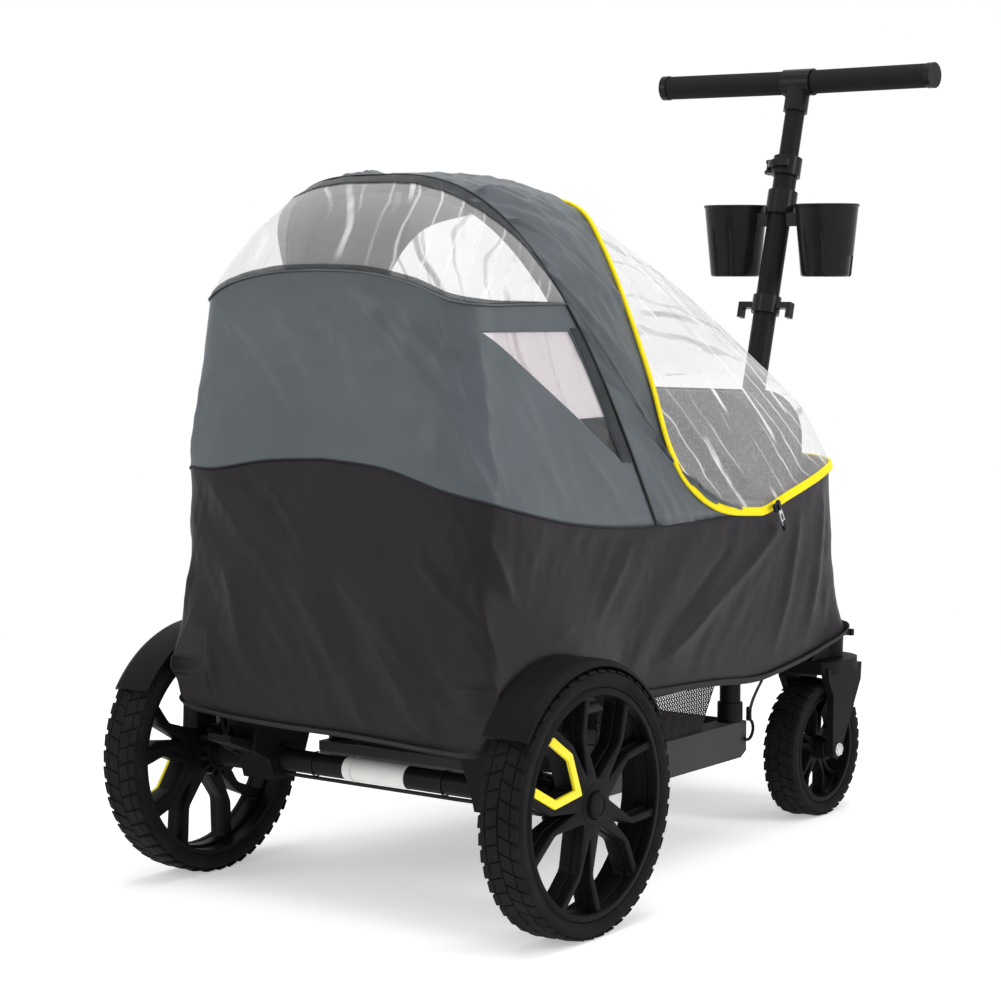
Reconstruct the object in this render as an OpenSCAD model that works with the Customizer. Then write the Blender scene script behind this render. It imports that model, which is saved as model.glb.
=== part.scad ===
// Two-seat stroller wagon with a fitted weather cover and a telescopic pull handle.
// +X is forward, towards the handle, +Y is the wagon's left, +Z is up, and Z = 0 is the floor.

/* [Overall] */
// Rear axle's place along the wagon, measured from the middle of its length
rear_axle_x = -429; // [-440:1:-418]
// Distance from the rear axle to the front wheels' axles
wheelbase = 743; // [738:1:748]

/* [Rear wheels] */
// Radius over the tread of a rear tyre
rear_wheel_r = 155; // [153:1:157]
// Width of a rear tyre
rear_tyre_w = 57; // [50:1:57]
// Distance between the middles of the rear tyres
rear_track = 576; // [576:1:590]
// Radius where the rear tyre sits on its rim
rear_rim_r = 134; // [132:1:136]
// Radius of the stub axle that carries a rear wheel
stub_r = 6; // [5:0.5:7]
// Number of spoke pairs in a wheel
spoke_pairs = 5; // [5:1:5]
// Number of teeth on the brake ring, a multiple of four
brake_teeth = 16; // [12:4:16]

/* [Front wheels] */
// Radius over the tread of a front tyre
front_wheel_r = 95; // [94:1:97]
// Width of a front tyre
front_tyre_w = 50; // [46:1:52]
// Radius where the front tyre sits on its rim
front_rim_r = 77; // [75:1:79]
// Distance between the two swivel axes
front_track = 350; // [340:1:360]
// Distance from the swivel axis back to the wheel's axle
trail = 30; // [26:1:34]
// Radius of the front wheel's axle bolt
bolt_r = 5; // [4:0.5:6]
// Radius of the swivel stem
stem_r = 10; // [8:0.5:12]

/* [Handle] */
// Height of the handle's pivot
pivot_z = 262; // [255:1:270]
// Distance from the rear axle forward to the handle's pivot
pivot_dx = 780; // [776:1:790]
// Lean of the handle from upright, in degrees
handle_lean = 15.5; // [14:0.5:17]
// Outside radius of the outer handle tube
handle_r = 17; // [16:0.5:18]
// Outside radius of the inner handle tube
inner_r = 14.5; // [14:0.25:15]
// Length of the outer tube from the pivot to its top
outer_len = 676; // [660:1:690]
// Distance from the pivot to the middle of the grips
grip_s = 805; // [795:1:815]
// Half of the length over the grips
grip_half = 230; // [220:1:235]
// How far each grip sweeps back, in degrees
grip_sweep = 4; // [2:0.5:5]
// Radius of a grip
grip_r = 17.5; // [16.5:0.5:18]

/* [Frame] */
// Height of the lower rails' middle line
lower_rail_z = 232; // [230:1:236]
// Height of the upper rails' middle line
upper_rail_z = 432; // [428:1:434]
// Distance from the middle to a lower rail
lower_rail_y = 180; // [178:1:184]
// Distance from the middle to an upper rail
upper_rail_y = 204; // [202:1:206]
// Radius of the frame tubes
rail_r = 12; // [11:0.5:12.5]

/* [Hidden] */

$fn = 64;
slack = 0.05;          // radial clearance of a running fit
seat_gap = 0.05;       // gap where two welded or bolted pieces meet on a curved face
through = 1;           // how far a cutter runs past the face it cuts
LEFT = 1;
RIGHT = -1;
near_black = [0.09, 0.09, 0.095];
dark_grey = [0.2, 0.2, 0.21];
slate = [0.36, 0.4, 0.42];
charcoal = [0.23, 0.21, 0.235];
heather = [0.42, 0.43, 0.45];
yellow = [1, 0.88, 0.1];
steel = [0.6, 0.6, 0.62];
clear = [0.85, 0.88, 0.9, 0.35];

front_axle_x = wheelbase;
swivel_x = wheelbase + trail;
swivel_y = front_track / 2;
crown_z = front_wheel_r * 2 + 12;   // underside of the fork's crown, just over the tyre
crown_h = 17.5;
housing_z = crown_z + crown_h + 1;
hub_half = 30;                     // half length of a rear hub
pin_in = 205;                      // inner end of the stub axles, from the middle
button_r = 16;
button_travel = 3;

// ---------------------------------------------------------------- helpers

module from_axle() translate([rear_axle_x, 0, 0]) children();

module both_sides() {
    children();
    mirror([0, 1, 0]) children();
}

// A round bar from one point to another.
module strut(a, b, r) {
    d = b - a;
    translate(a)
        rotate([0, acos(d.z / norm(d)), atan2(d.y, d.x)])
            cylinder(r = r, h = norm(d));
}

// A bar along Y between two distances from the middle plane.
module cross_bar(x, z, y0, y1, r) translate([x, y0, z]) rotate([-90, 0, 0]) cylinder(r = r, h = y1 - y0);

// A flat plate in the XZ plane, drawn as [x, z] points, between two Y planes.
module side_plate(points, y0, y1)
    translate([0, y1, 0]) rotate([90, 0, 0]) linear_extrude(y1 - y0) polygon(points);

// The frame of the leaning handle, with +Z along the tube from its pivot.
module along_handle(s = 0)
    translate([pivot_dx, 0, pivot_z]) rotate([0, handle_lean, 0]) translate([0, 0, s]) children();

function lerp(a, b, t) = a + (b - a) * t;
function unit(v) = v / norm(v);
function clamp(v, low, high) = min(max(v, low), high);

// A smooth curve through hand-chosen points.
function spline_at(p, i, t) =
    let (a = p[max(i - 1, 0)], b = p[i], c = p[i + 1], d = p[min(i + 2, len(p) - 1)])
    0.5 * (2 * b + (c - a) * t + (2 * a - 5 * b + 4 * c - d) * t * t + (3 * b - a - 3 * c + d) * t * t * t);
// The point on a control list's curve at a place counted in spans, or as a fraction of the whole.
function on(p, s) = let (i = clamp(floor(s), 0, len(p) - 2)) spline_at(p, i, s - i);
function along(p, f) = on(p, f * (len(p) - 1));
function mirrored(p) = [for (q = p) [q.x, -q.y, q.z]];
// Right half from the middle outwards becomes a whole curve from right to left.
function whole(half) = concat([for (i = [len(half) - 1 : -1 : 1]) half[i]], mirrored(half));

// ---------------------------------------------------------------- sheets

core_z = 420;
core_x = [40, 640];
// A point moved inwards from a cover surface; the same for every panel, so that panels abut.
function inset(p, t) = p + t * unit([clamp(p.x, core_x[0], core_x[1]), 0, core_z] - p);

// A closed sheet over a grid of points, between two depths below the surface.
module sheet(grid, t0, t1, flip = false) {
    rows = len(grid);
    cols = len(grid[0]);
    points = concat(
        [for (r = grid, p = r) inset(p, t0)],
        [for (r = grid, p = r) inset(p, t1)]);
    under = rows * cols;
    function at(i, j) = i * cols + j;
    faces = concat(
        [for (i = [0 : rows - 2], j = [0 : cols - 2]) each [
            [at(i, j), at(i, j + 1), at(i + 1, j + 1)],
            [at(i, j), at(i + 1, j + 1), at(i + 1, j)],
            [under + at(i, j), under + at(i + 1, j + 1), under + at(i, j + 1)],
            [under + at(i, j), under + at(i + 1, j), under + at(i + 1, j + 1)]]],
        [for (j = [0 : cols - 2]) each [
            [at(0, j), under + at(0, j), under + at(0, j + 1)],
            [at(0, j), under + at(0, j + 1), at(0, j + 1)],
            [at(rows - 1, j), under + at(rows - 1, j + 1), under + at(rows - 1, j)],
            [at(rows - 1, j), at(rows - 1, j + 1), under + at(rows - 1, j + 1)]]],
        [for (i = [0 : rows - 2]) each [
            [at(i, 0), under + at(i + 1, 0), under + at(i, 0)],
            [at(i, 0), at(i + 1, 0), under + at(i + 1, 0)],
            [at(i, cols - 1), under + at(i, cols - 1), under + at(i + 1, cols - 1)],
            [at(i, cols - 1), under + at(i + 1, cols - 1), at(i + 1, cols - 1)]]]);
    polyhedron(points, flip ? [for (f = faces) [f[0], f[2], f[1]]] : faces, convexity = 6);
}

// A tube swept along a list of points, with a ring square to the path at each.
module swept(path, r, sides = 8) {
    n = len(path);
    rings = [for (i = [0 : n - 1])
        let (d = unit(path[min(i + 1, n - 1)] - path[max(i - 1, 0)]),
             u = unit(cross(d, abs(d.y) > 0.9 ? [1, 0, 0] : [0, 1, 0])),
             v = cross(d, u))
        each [for (k = [0 : sides - 1]) path[i] + r * (cos(k * 360 / sides) * u + sin(k * 360 / sides) * v)]];
    faces = concat(
        [for (i = [0 : n - 2], k = [0 : sides - 1])
            let (a = i * sides + k, b = i * sides + (k + 1) % sides)
            each [[a, a + sides, b], [b, a + sides, b + sides]]],
        [[for (k = [0 : sides - 1]) k]],
        [[for (k = [sides - 1 : -1 : 0]) (n - 1) * sides + k]]);
    polyhedron(rings, faces, convexity = 6);
}

// ---------------------------------------------------------------- cover curves
// Each is the right half, from the middle of the back (or the crown) outwards.

// Hem of the skirt, from the middle of the back round to the middle of the front.
hem = [[-101, 0, 216], [-102, -90, 217], [-107, -168, 222], [-106, -226, 232], [-48, -221, 246],
    [60, -218, 254], [160, -218, 246], [256, -218, 236], [410, -218, 228], [507, -218, 220],
    [570, -220, 224], [680, -221, 240], [757, -218, 263], [761, -110, 268], [750, 0, 267]];
// The skirt at its fullest, half way up.
belly = [[-110, 0, 375], [-110, -90, 375], [-108, -178, 375], [-92, -224, 375], [-44, -232, 372],
    [60, -231, 368], [160, -229, 360], [257, -229, 352], [410, -229, 352], [507, -229, 350],
    [570, -228, 346], [682, -221, 346], [749, -199, 346], [749, -110, 378], [751, 0, 380]];
// Seam between the dark skirt and the grey top, and then the front rim.
seam = [[-107, 0, 541], [-107, -90, 534], [-105, -175, 512], [-88, -226, 500], [-40, -236, 487],
    [60, -233, 466], [160, -230, 453], [257, -228, 447], [410, -228, 444], [507, -227, 446],
    [570, -226, 460], [688, -214, 483], [752, -188, 495], [766, -112, 500], [769, 0, 501]];
corner = 3;            // place of the rear corner in those lists
bow_place = 7;         // place of the middle bow's foot
zip_place = 9;         // place where the zip comes down to the seam
front_corner = 12;     // place of the front corner
last_place = len(seam) - 1;

// The middle bow leans back from its foot, and its arch is a flattened ellipse.
bow_foot = seam[bow_place];
bow_rise = 424;
bow_lean = 0.616;
bow_power = 3.2;
function arch(foot, rise, lean, power, f) =
    let (a = 90 * (1 - f), up = rise * pow(sin(a), 2 / power))
    [foot.x - lean * up, foot.y * pow(cos(a), 2 / power), foot.z + up];
function bow_point(f) = arch(bow_foot, bow_rise, bow_lean, bow_power, f);
band_f = 0.669;        // how far down the bow the grey side panel's top edge meets it
// Top edge of the grey back and side panels, up to the middle bow.
top_edge = [[-110, 0, 760], [-110, -70, 757], [-109, -135, 745], [-98, -180, 727], [-60, -204, 721],
    [-10, -207, 721], [45, -208, 721], bow_point(band_f)];
// The zip: from the crown of the hood's front edge down and forward to the seam.
zip_hood = [[250, 0, 857], [248, -60, 850], [238, -125, 832], [227, -165, 788], [224, -198, 724],
    [243, -224, 629], [281, -228, 543], [333, -227, 491], [410, -227, 457], seam[zip_place]];
// Crest of the clear front window, where it passes over the front panel.
crest = [[744, 0, 612], [743, -70, 609], [740, -118, 598], [735, -150, 578], [722, -178, 550],
    [700, -196, 523], [662, -208, 500], [610, -217, 481], [555, -224, 461], seam[zip_place]];
front_rim = [for (i = [last_place : -1 : zip_place]) seam[i]];

panel_t = 1.6;         // thickness of a cover panel
film_t = 1.2;          // thickness of a clear film
steps = 2;             // steps to each span along a cover curve
rows = 4;              // steps up a cover panel
film_end = 14 / 16;    // where a film stops short of the point that its edges run to
seam_gap = 2.5;        // least gap between a film and the edges that it is sewn to

// Part of the skirt between two places along the hem.
function skirt_grid(i0, i1) =
    [for (r = [0 : rows])
        let (t = r / rows)
        [for (k = [0 : (i1 - i0) * steps])
            let (s = i0 + k / steps)
            on(hem, s) * (1 - t) * (1 - 2 * t) + on(belly, s) * 4 * t * (1 - t) + on(seam, s) * t * (2 * t - 1)]];

// Part of the grey panels, between the seam and the top edge; its front edge follows the bow.
function panel_grid(i0, i1) =
    [for (r = [0 : rows])
        let (t = r / rows, on_bow = bow_point(lerp(1, band_f, t)) - lerp(bow_foot, bow_point(band_f), t))
        [for (k = [0 : (i1 - i0) * steps])
            let (s = i0 + k / steps, pull = pow(max(0, s - corner) / (bow_place - corner), 2))
            lerp(on(seam, s), on(top_edge, s), t) + pull * (on_bow - [0.9 * min(1, 3 * t), 0, 0])]];

// A surface between two half curves, swollen outwards between them, from left to right.
function loft_grid(a, b, n, m, swell, stop = 1, gap = 0) =
    [for (r = [0 : n])
        whole([for (k = [0 : m])
            let (f = stop * k / m, fade = (1 - f) * (1 + f), p = along(a, f), q = along(b, f),
                g = gap == 0 ? 0 : max(gap, seam_gap / norm(q - p)), t = g + (1 - 2 * g) * r / n)
            inset(lerp(p, q, t), -swell * fade * 4 * t * (1 - t))])];

function whole_rows(grid) = [for (row = grid) whole(row)];

bow_full = [for (i = [0 : 16]) bow_point(i / 16)];
bow_above_band = [for (i = [0 : 7]) bow_point(band_f * i / 7)];

module skirt_rear() color(charcoal) sheet(whole_rows(skirt_grid(0, corner)), 0, panel_t);

module skirt_sides() color(charcoal) both_sides()
    sheet(skirt_grid(corner, front_corner), 0, panel_t, true);

module skirt_front() color(charcoal)
    sheet(whole_rows([for (row = skirt_grid(front_corner, last_place)) [for (i = [len(row) - 1 : -1 : 0]) row[i]]]),
        0, panel_t, true);

module cover_rear_panel() color(slate) sheet(whole_rows(panel_grid(0, corner)), 0, panel_t);

// Corners of the triangular side window, as [x, z].
window = [[-70, 690], [88, 688], [178, 533]];
module window_prism(grow = 0) {
    middle = (window[0] + window[1] + window[2]) / 3;
    side_plate([for (p = window) p + grow * unit(p - middle)], -400, 0);
}

module cover_side_panels() color(slate) both_sides() difference() {
    sheet(panel_grid(corner, bow_place), 0, panel_t, true);
    window_prism();
}

module side_windows() color(clear) both_sides() intersection() {
    sheet(panel_grid(corner, bow_place), panel_t, panel_t + film_t, true);
    window_prism(9);
}

module cover_hood() color(slate) sheet(loft_grid(bow_full, zip_hood, 4, 16, 12), 0, panel_t);

module rear_film() color(clear) sheet(loft_grid(top_edge, bow_above_band, 5, 14, 14, 15 / 16, 0.008), 0, film_t);

module front_film() color(clear) {
    over = loft_grid(zip_hood, crest, 6, 14, 8, film_end, 0.006);
    down = loft_grid(crest, front_rim, 2, 14, 2, film_end);
    sheet(concat(over, [down[1], [for (p = down[2]) p + [0, 0, 0.9]]]), 0, film_t);
}

// Yellow zip, lying on the cover round the edge of the clear window.
zip_r = 2.6;
zip_lift = 1.9;         // how far the zip's underside stands off the cover
module cover_zip() color(yellow) {
    edge = concat([for (k = [0 : 18]) along(zip_hood, k / 18)], [for (k = [1 : 9]) on(seam, zip_place + k / 2)]);
    swept([for (p = whole(edge)) inset(p, -zip_r - zip_lift)], zip_r, 6);
}

// ---------------------------------------------------------------- inside the cover

hoop_r = 5;
hoop_depth = 12;
front_hoop = [[250, 0, 857], [248, -60, 850], [238, -125, 832], [227, -165, 788], [222, -198, 724],
    [228, -214, 640], [243, -221, 543], [275, -226, 450]];
hoop_points = 12;
module canopy_hoops() color(dark_grey)
    for (path = [[for (i = [0 : hoop_points]) bow_point(i / hoop_points)],
            [for (i = [0 : hoop_points]) along(front_hoop, i / hoop_points)]])
        swept([for (p = whole(path)) inset(p, hoop_depth)], hoop_r, 8);

// The folding canopy under the cover: its fabric hangs between the two hoops.
canopy_depth = hoop_depth + hoop_r + 2.5;
canopy_low = 0.66;     // how far down the hoops the fabric reaches
module canopy_sheet() color(heather) {
    back = [for (i = [0 : hoop_points]) inset(bow_point(i / hoop_points), canopy_depth)];
    front = [for (i = [0 : hoop_points]) inset(along(front_hoop, i / hoop_points), canopy_depth)];
    sheet(loft_grid(back, front, 4, 12, -4, canopy_low), 0, 1.5);
}

// Zip pullers that hang from the sliders at the bottom of the clear window.
module zip_sliders() color(near_black) both_sides() {
    p = inset(on(seam, zip_place + 0.3), -9);
    translate(p) rotate([0, -18, 0]) {
        translate([-6, -2, -5]) cube([12, 4, 10]);
        translate([-3, -1.5, -30]) cube([6, 2, 25.5]);
    }
}

// Elastic straps from the hem to the footwell, each ending in a wire hook.
module tie_downs() color(near_black) both_sides() {
    swept([[538, -213, 240], [539, -212.5, 222], [541, -204, 206], [543, -196, 191], [545, -191, 178]], 2.5, 6);
    translate([545, -188, 149]) rotate([90, 0, 0]) rotate([0, 0, -125]) rotate_extrude(angle = 250)
        translate([14, 0]) circle(r = 2.2, $fn = 24);
    translate([545, -189.5, 162]) cylinder(r = 4, h = 18);
}

// ---------------------------------------------------------------- frame

axle_z = rear_wheel_r;
tube_r = 14;
tube_wall = 2;
tube_end = 188;
bracket_y = [150, 246];
plate_y = [228, 234];

module rear_axle_tube() color(near_black) difference() {
    cross_bar(0, axle_z, -tube_end, tube_end, tube_r);
    cross_bar(0, axle_z, -tube_end - through, tube_end + through, tube_r - tube_wall);
}

module rear_axle_pins() color(steel) both_sides()
    cross_bar(0, axle_z, pin_in, rear_track / 2 + 8, stub_r);

// Moulded housings on the ends of the axle tube: they carry the stub axles, the brake
// and the fenders, and bolt up to the lower rails.
fender_in = 162.5;
ear_t = 5;
pedal_x = -46;         // hinge of the brake pedal
pedal_z = 176;
hinge_r = 3;
brake_r = 34;          // radius of the toothed brake ring
pin_z = axle_z + brake_r - 4;
brake_pin_r = 3;
module rear_brackets() color(near_black) {
    both_sides() difference() {
        union() {
            cross_bar(0, axle_z, bracket_y[0], bracket_y[1], 20);
            side_plate([[-24, 150], [-18, 130], [18, 130], [36, 150], [66, 226], [66, deck_z], [-58, deck_z], [-58, 226]],
                lower_rail_y - 26, lower_rail_y + 26);
            side_plate([[-20, 160], [20, 160], [52, 250], [58, 306], [30, 314], [0, 316], [-36, 312], [-44, 250]],
                plate_y[0], plate_y[1]);
            cross_bar(0, pin_z, plate_y[0] - 8, plate_y[1] + 6, 8);
        }
        cross_bar(0, axle_z, pin_in, 300, stub_r);
        cross_bar(0, axle_z, bracket_y[0] - through, tube_end, tube_r);
        cross_bar(0, pin_z, plate_y[0] - 20, plate_y[1] + 20, brake_pin_r + slack);
        translate([-70, lower_rail_y, lower_rail_z]) rotate([0, 90, 0]) cylinder(r = rail_r + seat_gap, h = 200);
        cross_bar(cross_x[0], lower_rail_z, 0, lower_rail_y, 9 + seat_gap);
        corner_post(corner_x[0], 9 + seat_gap);
    }
    for (y = [lower_rail_y - 26, lower_rail_y + 26 - ear_t])
        side_plate([[-26, 158], [-46, 167], [-55, 173], [-55, 181], [-50, 192], [-44, 205], [-30, 205]], y, y + ear_t);
    cross_bar(pedal_x, pedal_z, lower_rail_y - 26, lower_rail_y + 26, hinge_r);
}

// Curved fenders over the rear tyres, cut flat at the back with a chamfered corner.
fender_t = 3.5;
fender_y = [234, 314];
module fender() {
    mid = (fender_y[0] + fender_y[1]) / 2;
    difference() {
        translate([0, fender_y[0], axle_z]) rotate([-90, 0, 0])
            rotate([0, 0, -148]) rotate_extrude(angle = 118, $fn = 96) translate([fender_in, 0])
                polygon([[0, 0], [0, 70], [-5, 80], [-3, 80], [fender_t, 74], [fender_t + 1, 71], [fender_t, 68], [fender_t, 0]]);
        translate([-200, fender_y[0] - through, 0]) cube([120, 100, 248]);
        translate([-178, fender_y[1], 250]) rotate([0, 0, 45]) cube([60, 60, 60], center = true);
    }
}
module fenders() color(dark_grey) both_sides() fender();

// Brake cable, clipped under the axle tube between the two brakes.
cable_r = 2.5;
module brake_cable() color(near_black) {
    swept([[0, 149.8, 138], [0, 130, 137], [0, 60, 137], [0, 0, 137], [0, -60, 137], [0, -130, 137], [0, -149.8, 138]],
        cable_r, 8);
    for (y = [35, -75]) translate([0, y, 0]) difference() {
        cross_bar(0, axle_z, -3, 3, tube_r + 2);
        cross_bar(0, axle_z, -4, 4, tube_r);
    }
}

// Side rails, floor and ends of the footwell.
pan_x = [100, 550];
pan_y = 183;
pan_top = 160;
pan_low = 112;
pan_side = [[pan_x[0], 148], [pan_x[0] + 36, pan_low], [pan_x[1] - 14, pan_low], [pan_x[1], pan_low + 8],
    [pan_x[1], pan_top], [pan_x[0], pan_top]];
rail_w = 32;
module footwell_pan() color(dark_grey) {
    both_sides() side_plate(pan_side, pan_y - rail_w, pan_y);
    intersection() {
        side_plate(pan_side, -(pan_y - rail_w), pan_y - rail_w);
        union() {
            translate([pan_x[0], -pan_y, pan_low]) cube([pan_x[1] - pan_x[0], 2 * pan_y, 4]);
            for (e = [[pan_x[0], 148, pan_x[0] + 36, pan_low], [pan_x[1] - 14, pan_low, pan_x[1], pan_low + 8]])
                side_plate([[e[0], e[1]], [e[2], e[3]], [e[2], e[3] + 4], [e[0], e[1] + 4]], -pan_y, pan_y);
            translate([pan_x[0], -pan_y, 140]) cube([5, 2 * pan_y, 40]);
            translate([pan_x[1] - 5, -pan_y, pan_low + 5]) cube([5, 2 * pan_y, 60]);
        }
    }
    for (k = [0 : 5])
        translate([pan_x[0] + 70 + k * 60, -120, pan_low + 4]) cube([24, 240, 2]);
}

// Upright tubes: four from the footwell's corners, four between the lower and upper rails.
post_x = [128, 532];
corner_x = [5, 634];
module corner_post(x, r)
    strut([x, lower_rail_y + 2, lower_rail_z], [x, upper_rail_y - 2, upper_rail_z], r);
module posts() color(dark_grey) both_sides() {
    for (x = post_x) difference() {
        union() {
            translate([x, 168, pan_top]) cylinder(r = 14, h = lower_rail_z - pan_top);
            translate([x, 168, pan_top]) cylinder(r = 17, h = 26);
        }
        translate([x - 40, lower_rail_y, lower_rail_z]) rotate([0, 90, 0]) cylinder(r = rail_r + seat_gap, h = 80);
    }
    for (x = corner_x) difference() {
        corner_post(x, 9);
        translate([x - 40, lower_rail_y, lower_rail_z]) rotate([0, 90, 0]) cylinder(r = rail_r + seat_gap, h = 80);
        translate([x - 40, upper_rail_y, upper_rail_z]) rotate([0, 90, 0]) cylinder(r = rail_r + seat_gap, h = 80);
    }
}

// Mesh side walls of the footwell.
module footwell_mesh() color(near_black) both_sides()
    side_plate([[200, pan_top], [442, pan_top], [478, 218], [200, 218]], 176, 178);

// Two long tubes and the cross tubes that join them.
lower_x = [-56, 742];
cross_x = [-40, 86, 606, 700];
module lower_frame() color(near_black) {
    both_sides() translate([lower_x[0], lower_rail_y, lower_rail_z])
        rotate([0, 90, 0]) cylinder(r = rail_r, h = lower_x[1] - lower_x[0]);
    for (x = cross_x) cross_bar(x, lower_rail_z, -lower_rail_y, lower_rail_y, 9);
}

// One tube bent into a ring round the top of the basket.
upper_x = [-76, 714];
bend_r = 70;
module upper_rails() color(near_black) {
    x0 = upper_x[0] + bend_r;
    x1 = upper_x[1] - bend_r;
    y = upper_rail_y - bend_r;
    both_sides() {
        translate([x0, upper_rail_y, upper_rail_z]) rotate([0, 90, 0]) cylinder(r = rail_r, h = x1 - x0);
        translate([x1, y, upper_rail_z]) rotate_extrude(angle = 90) translate([bend_r, 0]) circle(r = rail_r);
        translate([x0, y, upper_rail_z]) rotate([0, 0, 90]) rotate_extrude(angle = 90)
            translate([bend_r, 0]) circle(r = rail_r);
    }
    cross_bar(upper_x[0], upper_rail_z, -y, y, rail_r);
    cross_bar(upper_x[1], upper_rail_z, -y, y, rail_r);
}

// ---------------------------------------------------------------- basket

deck_z = lower_rail_z + rail_r + 2;
deck_t = 4;
wall_t = 5;
wall_top = upper_rail_z + 8;
basket_x = [-62, 700];
basket_y = [172, 191];             // half widths at the deck and at the top of the walls
well_x = [108, 577];
well_y = 150;

// A rectangle with rounded corners, set in by a margin.
module deck_outline(half, margin, r = bend_r - rail_r - 2) {
    x0 = basket_x[0] + margin;
    x1 = basket_x[1] - margin;
    y = half - margin;
    c = r - margin;
    translate([x0 + c, -y]) square([x1 - x0 - 2 * c, 2 * y]);
    translate([x0, -y + c]) square([x1 - x0, 2 * (y - c)]);
    for (x = [x0 + c, x1 - c], s = [-1, 1]) translate([x, s * (y - c)]) circle(r = c);
}

module basket_floor() color(near_black) translate([0, 0, deck_z]) linear_extrude(deck_t) difference() {
    deck_outline(basket_y[0], wall_t + 0.4);
    translate([well_x[0], -well_y]) square([well_x[1] - well_x[0], 2 * well_y]);
}

// Fabric walls that lean out to the upper rails; the front one stands higher, with rounded shoulders.
front_panel_top = 590;
front_panel_half = 158;
module basket_shell(margin, past) hull() for (t = [0, 1])
    translate([0, 0, lerp(deck_z - past, wall_top + past, t) - 0.1 * t])
        linear_extrude(0.1) deck_outline(basket_y[t], margin, $fn = 32);
module basket_walls() color(heather) {
    difference() {
        basket_shell(0, 0);
        basket_shell(wall_t, through);
    }
    shoulder = 60;
    translate([upper_x[1] + rail_r + 0.3, 0, 0]) rotate([90, 0, 90]) linear_extrude(6) union() {
        translate([-front_panel_half, 420]) square([2 * front_panel_half, front_panel_top - 420 - shoulder]);
        translate([-front_panel_half + shoulder, 420])
            square([2 * (front_panel_half - shoulder), front_panel_top - 420]);
        for (s = [-1, 1])
            translate([s * (front_panel_half - shoulder), front_panel_top - shoulder]) circle(r = shoulder);
    }
}

// Two facing bench cushions over the decks.
seat_h = 60;
seat_x = [[basket_x[0], 150], [545, basket_x[1]]];
module seat_cushions() color(heather)
    for (x = seat_x) translate([0, 0, deck_z + deck_t]) linear_extrude(seat_h) intersection() {
        deck_outline(basket_y[0], wall_t + 1);
        translate([x[0], -basket_y[0]]) square([x[1] - x[0], 2 * basket_y[0]]);
    }

// ---------------------------------------------------------------- swivels and front wheels

// Housings at the front ends of the lower rails, each bored for a swivel stem.
housing_top = 262;
module caster_housings() color(near_black) both_sides() difference() {
    union() {
        translate([swivel_x, swivel_y, housing_z]) cylinder(r = 27, h = housing_top - housing_z);
        translate([703, swivel_y - 20, housing_z + 1]) cube([swivel_x - 703, 40, housing_top - housing_z - 3]);
        translate([swivel_x + 15, swivel_y - 12, 238]) cube([20, 24, 12]);
    }
    translate([swivel_x, swivel_y, housing_z - through]) cylinder(r = stem_r + slack, h = 31);
    translate([lower_x[0], lower_rail_y, lower_rail_z]) rotate([0, 90, 0])
        cylinder(r = rail_r + seat_gap, h = lower_x[1] - lower_x[0] + seat_gap);
    cross_bar(cross_x[3], lower_rail_z, 0, 200, 9 + seat_gap);
    translate([swivel_x + 26, swivel_y - 7, 230]) cube([20, 14, 40]);
}

// Moulded fork: a broad crown over the tyre, two blade legs and the swivel stem.
leg_y = [29, 40];
module caster_fork(side) color(near_black) translate([0, side * swivel_y, 0]) difference() {
    union() {
        translate([swivel_x, 0, crown_z]) linear_extrude(crown_h) crown_outline(44, 62);
        translate([swivel_x, 0, crown_z + crown_h]) cylinder(r = 21, h = 0.9);
        translate([swivel_x, 0, crown_z + crown_h]) cylinder(r = stem_r, h = 30);
        both_sides() side_plate([[swivel_x - 58, crown_z + 8], [swivel_x - 56, crown_z - 8], [swivel_x - 42, crown_z - 30],
            [front_axle_x - 13, front_wheel_r + 4], [front_axle_x - 11, front_wheel_r - 8],
            [front_axle_x, front_wheel_r - 14], [front_axle_x + 11, front_wheel_r - 8],
            [front_axle_x + 15, front_wheel_r + 4], [swivel_x + 22, crown_z - 40], [swivel_x + 36, crown_z - 16],
            [swivel_x + 38, crown_z + 8]], leg_y[0], leg_y[1]);
    }
    cross_bar(front_axle_x, front_wheel_r, -60, 60, bolt_r);
}
module crown_outline(half, back) {
    translate([-back + half * 0.7, 0]) intersection() {
        circle(r = half);
        translate([-half * 0.7, -half]) square(2 * half);
    }
    translate([-back + half * 0.7, -half]) square([back - half * 0.7 + 6, 2 * half]);
    translate([6, 0]) intersection() {
        circle(r = half);
        translate([0, -half]) square(2 * half);
    }
}

module fork_axle(side) color(steel) translate([front_axle_x, side * swivel_y, front_wheel_r]) {
    cross_bar(0, 0, -leg_y[1], leg_y[1], bolt_r);
    for (s = [-1, 1]) translate([0, s > 0 ? leg_y[1] : -leg_y[1] - 5, 0]) rotate([-90, 0, 0]) cylinder(r = 8.5, h = 5, $fn = 6);
}

// Small lever on the front of each housing that stops its swivel.
module swivel_lock(side) color(near_black) translate([0, side * swivel_y, 0]) {
    cross_bar(swivel_x + 31, 246, -6.8, 6.8, 4);
    translate([swivel_x + 33, -6.5, 243]) cube([38, 13, 5]);
    translate([swivel_x + 65, -9, 241]) cube([7, 18, 9]);
}

// ---------------------------------------------------------------- wheels

// Ring with a crowned tread, turned about Y.
module tyre_ring(r, seat, w, sidewall) {
    h = w / 2;
    rotate([90, 0, 0]) rotate_extrude($fn = 128) polygon([
        [seat, -h + 4], [seat + sidewall * 0.35, -h + 1], [r - 9, -h], [r - 4, -h + 1.5], [r - 1.5, -h + 6], [r, -h * 0.45],
        [r, h * 0.45], [r - 1.5, h - 6], [r - 4, h - 1.5], [r - 9, h], [seat + sidewall * 0.35, h - 1], [seat, h - 4]]);
}

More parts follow.
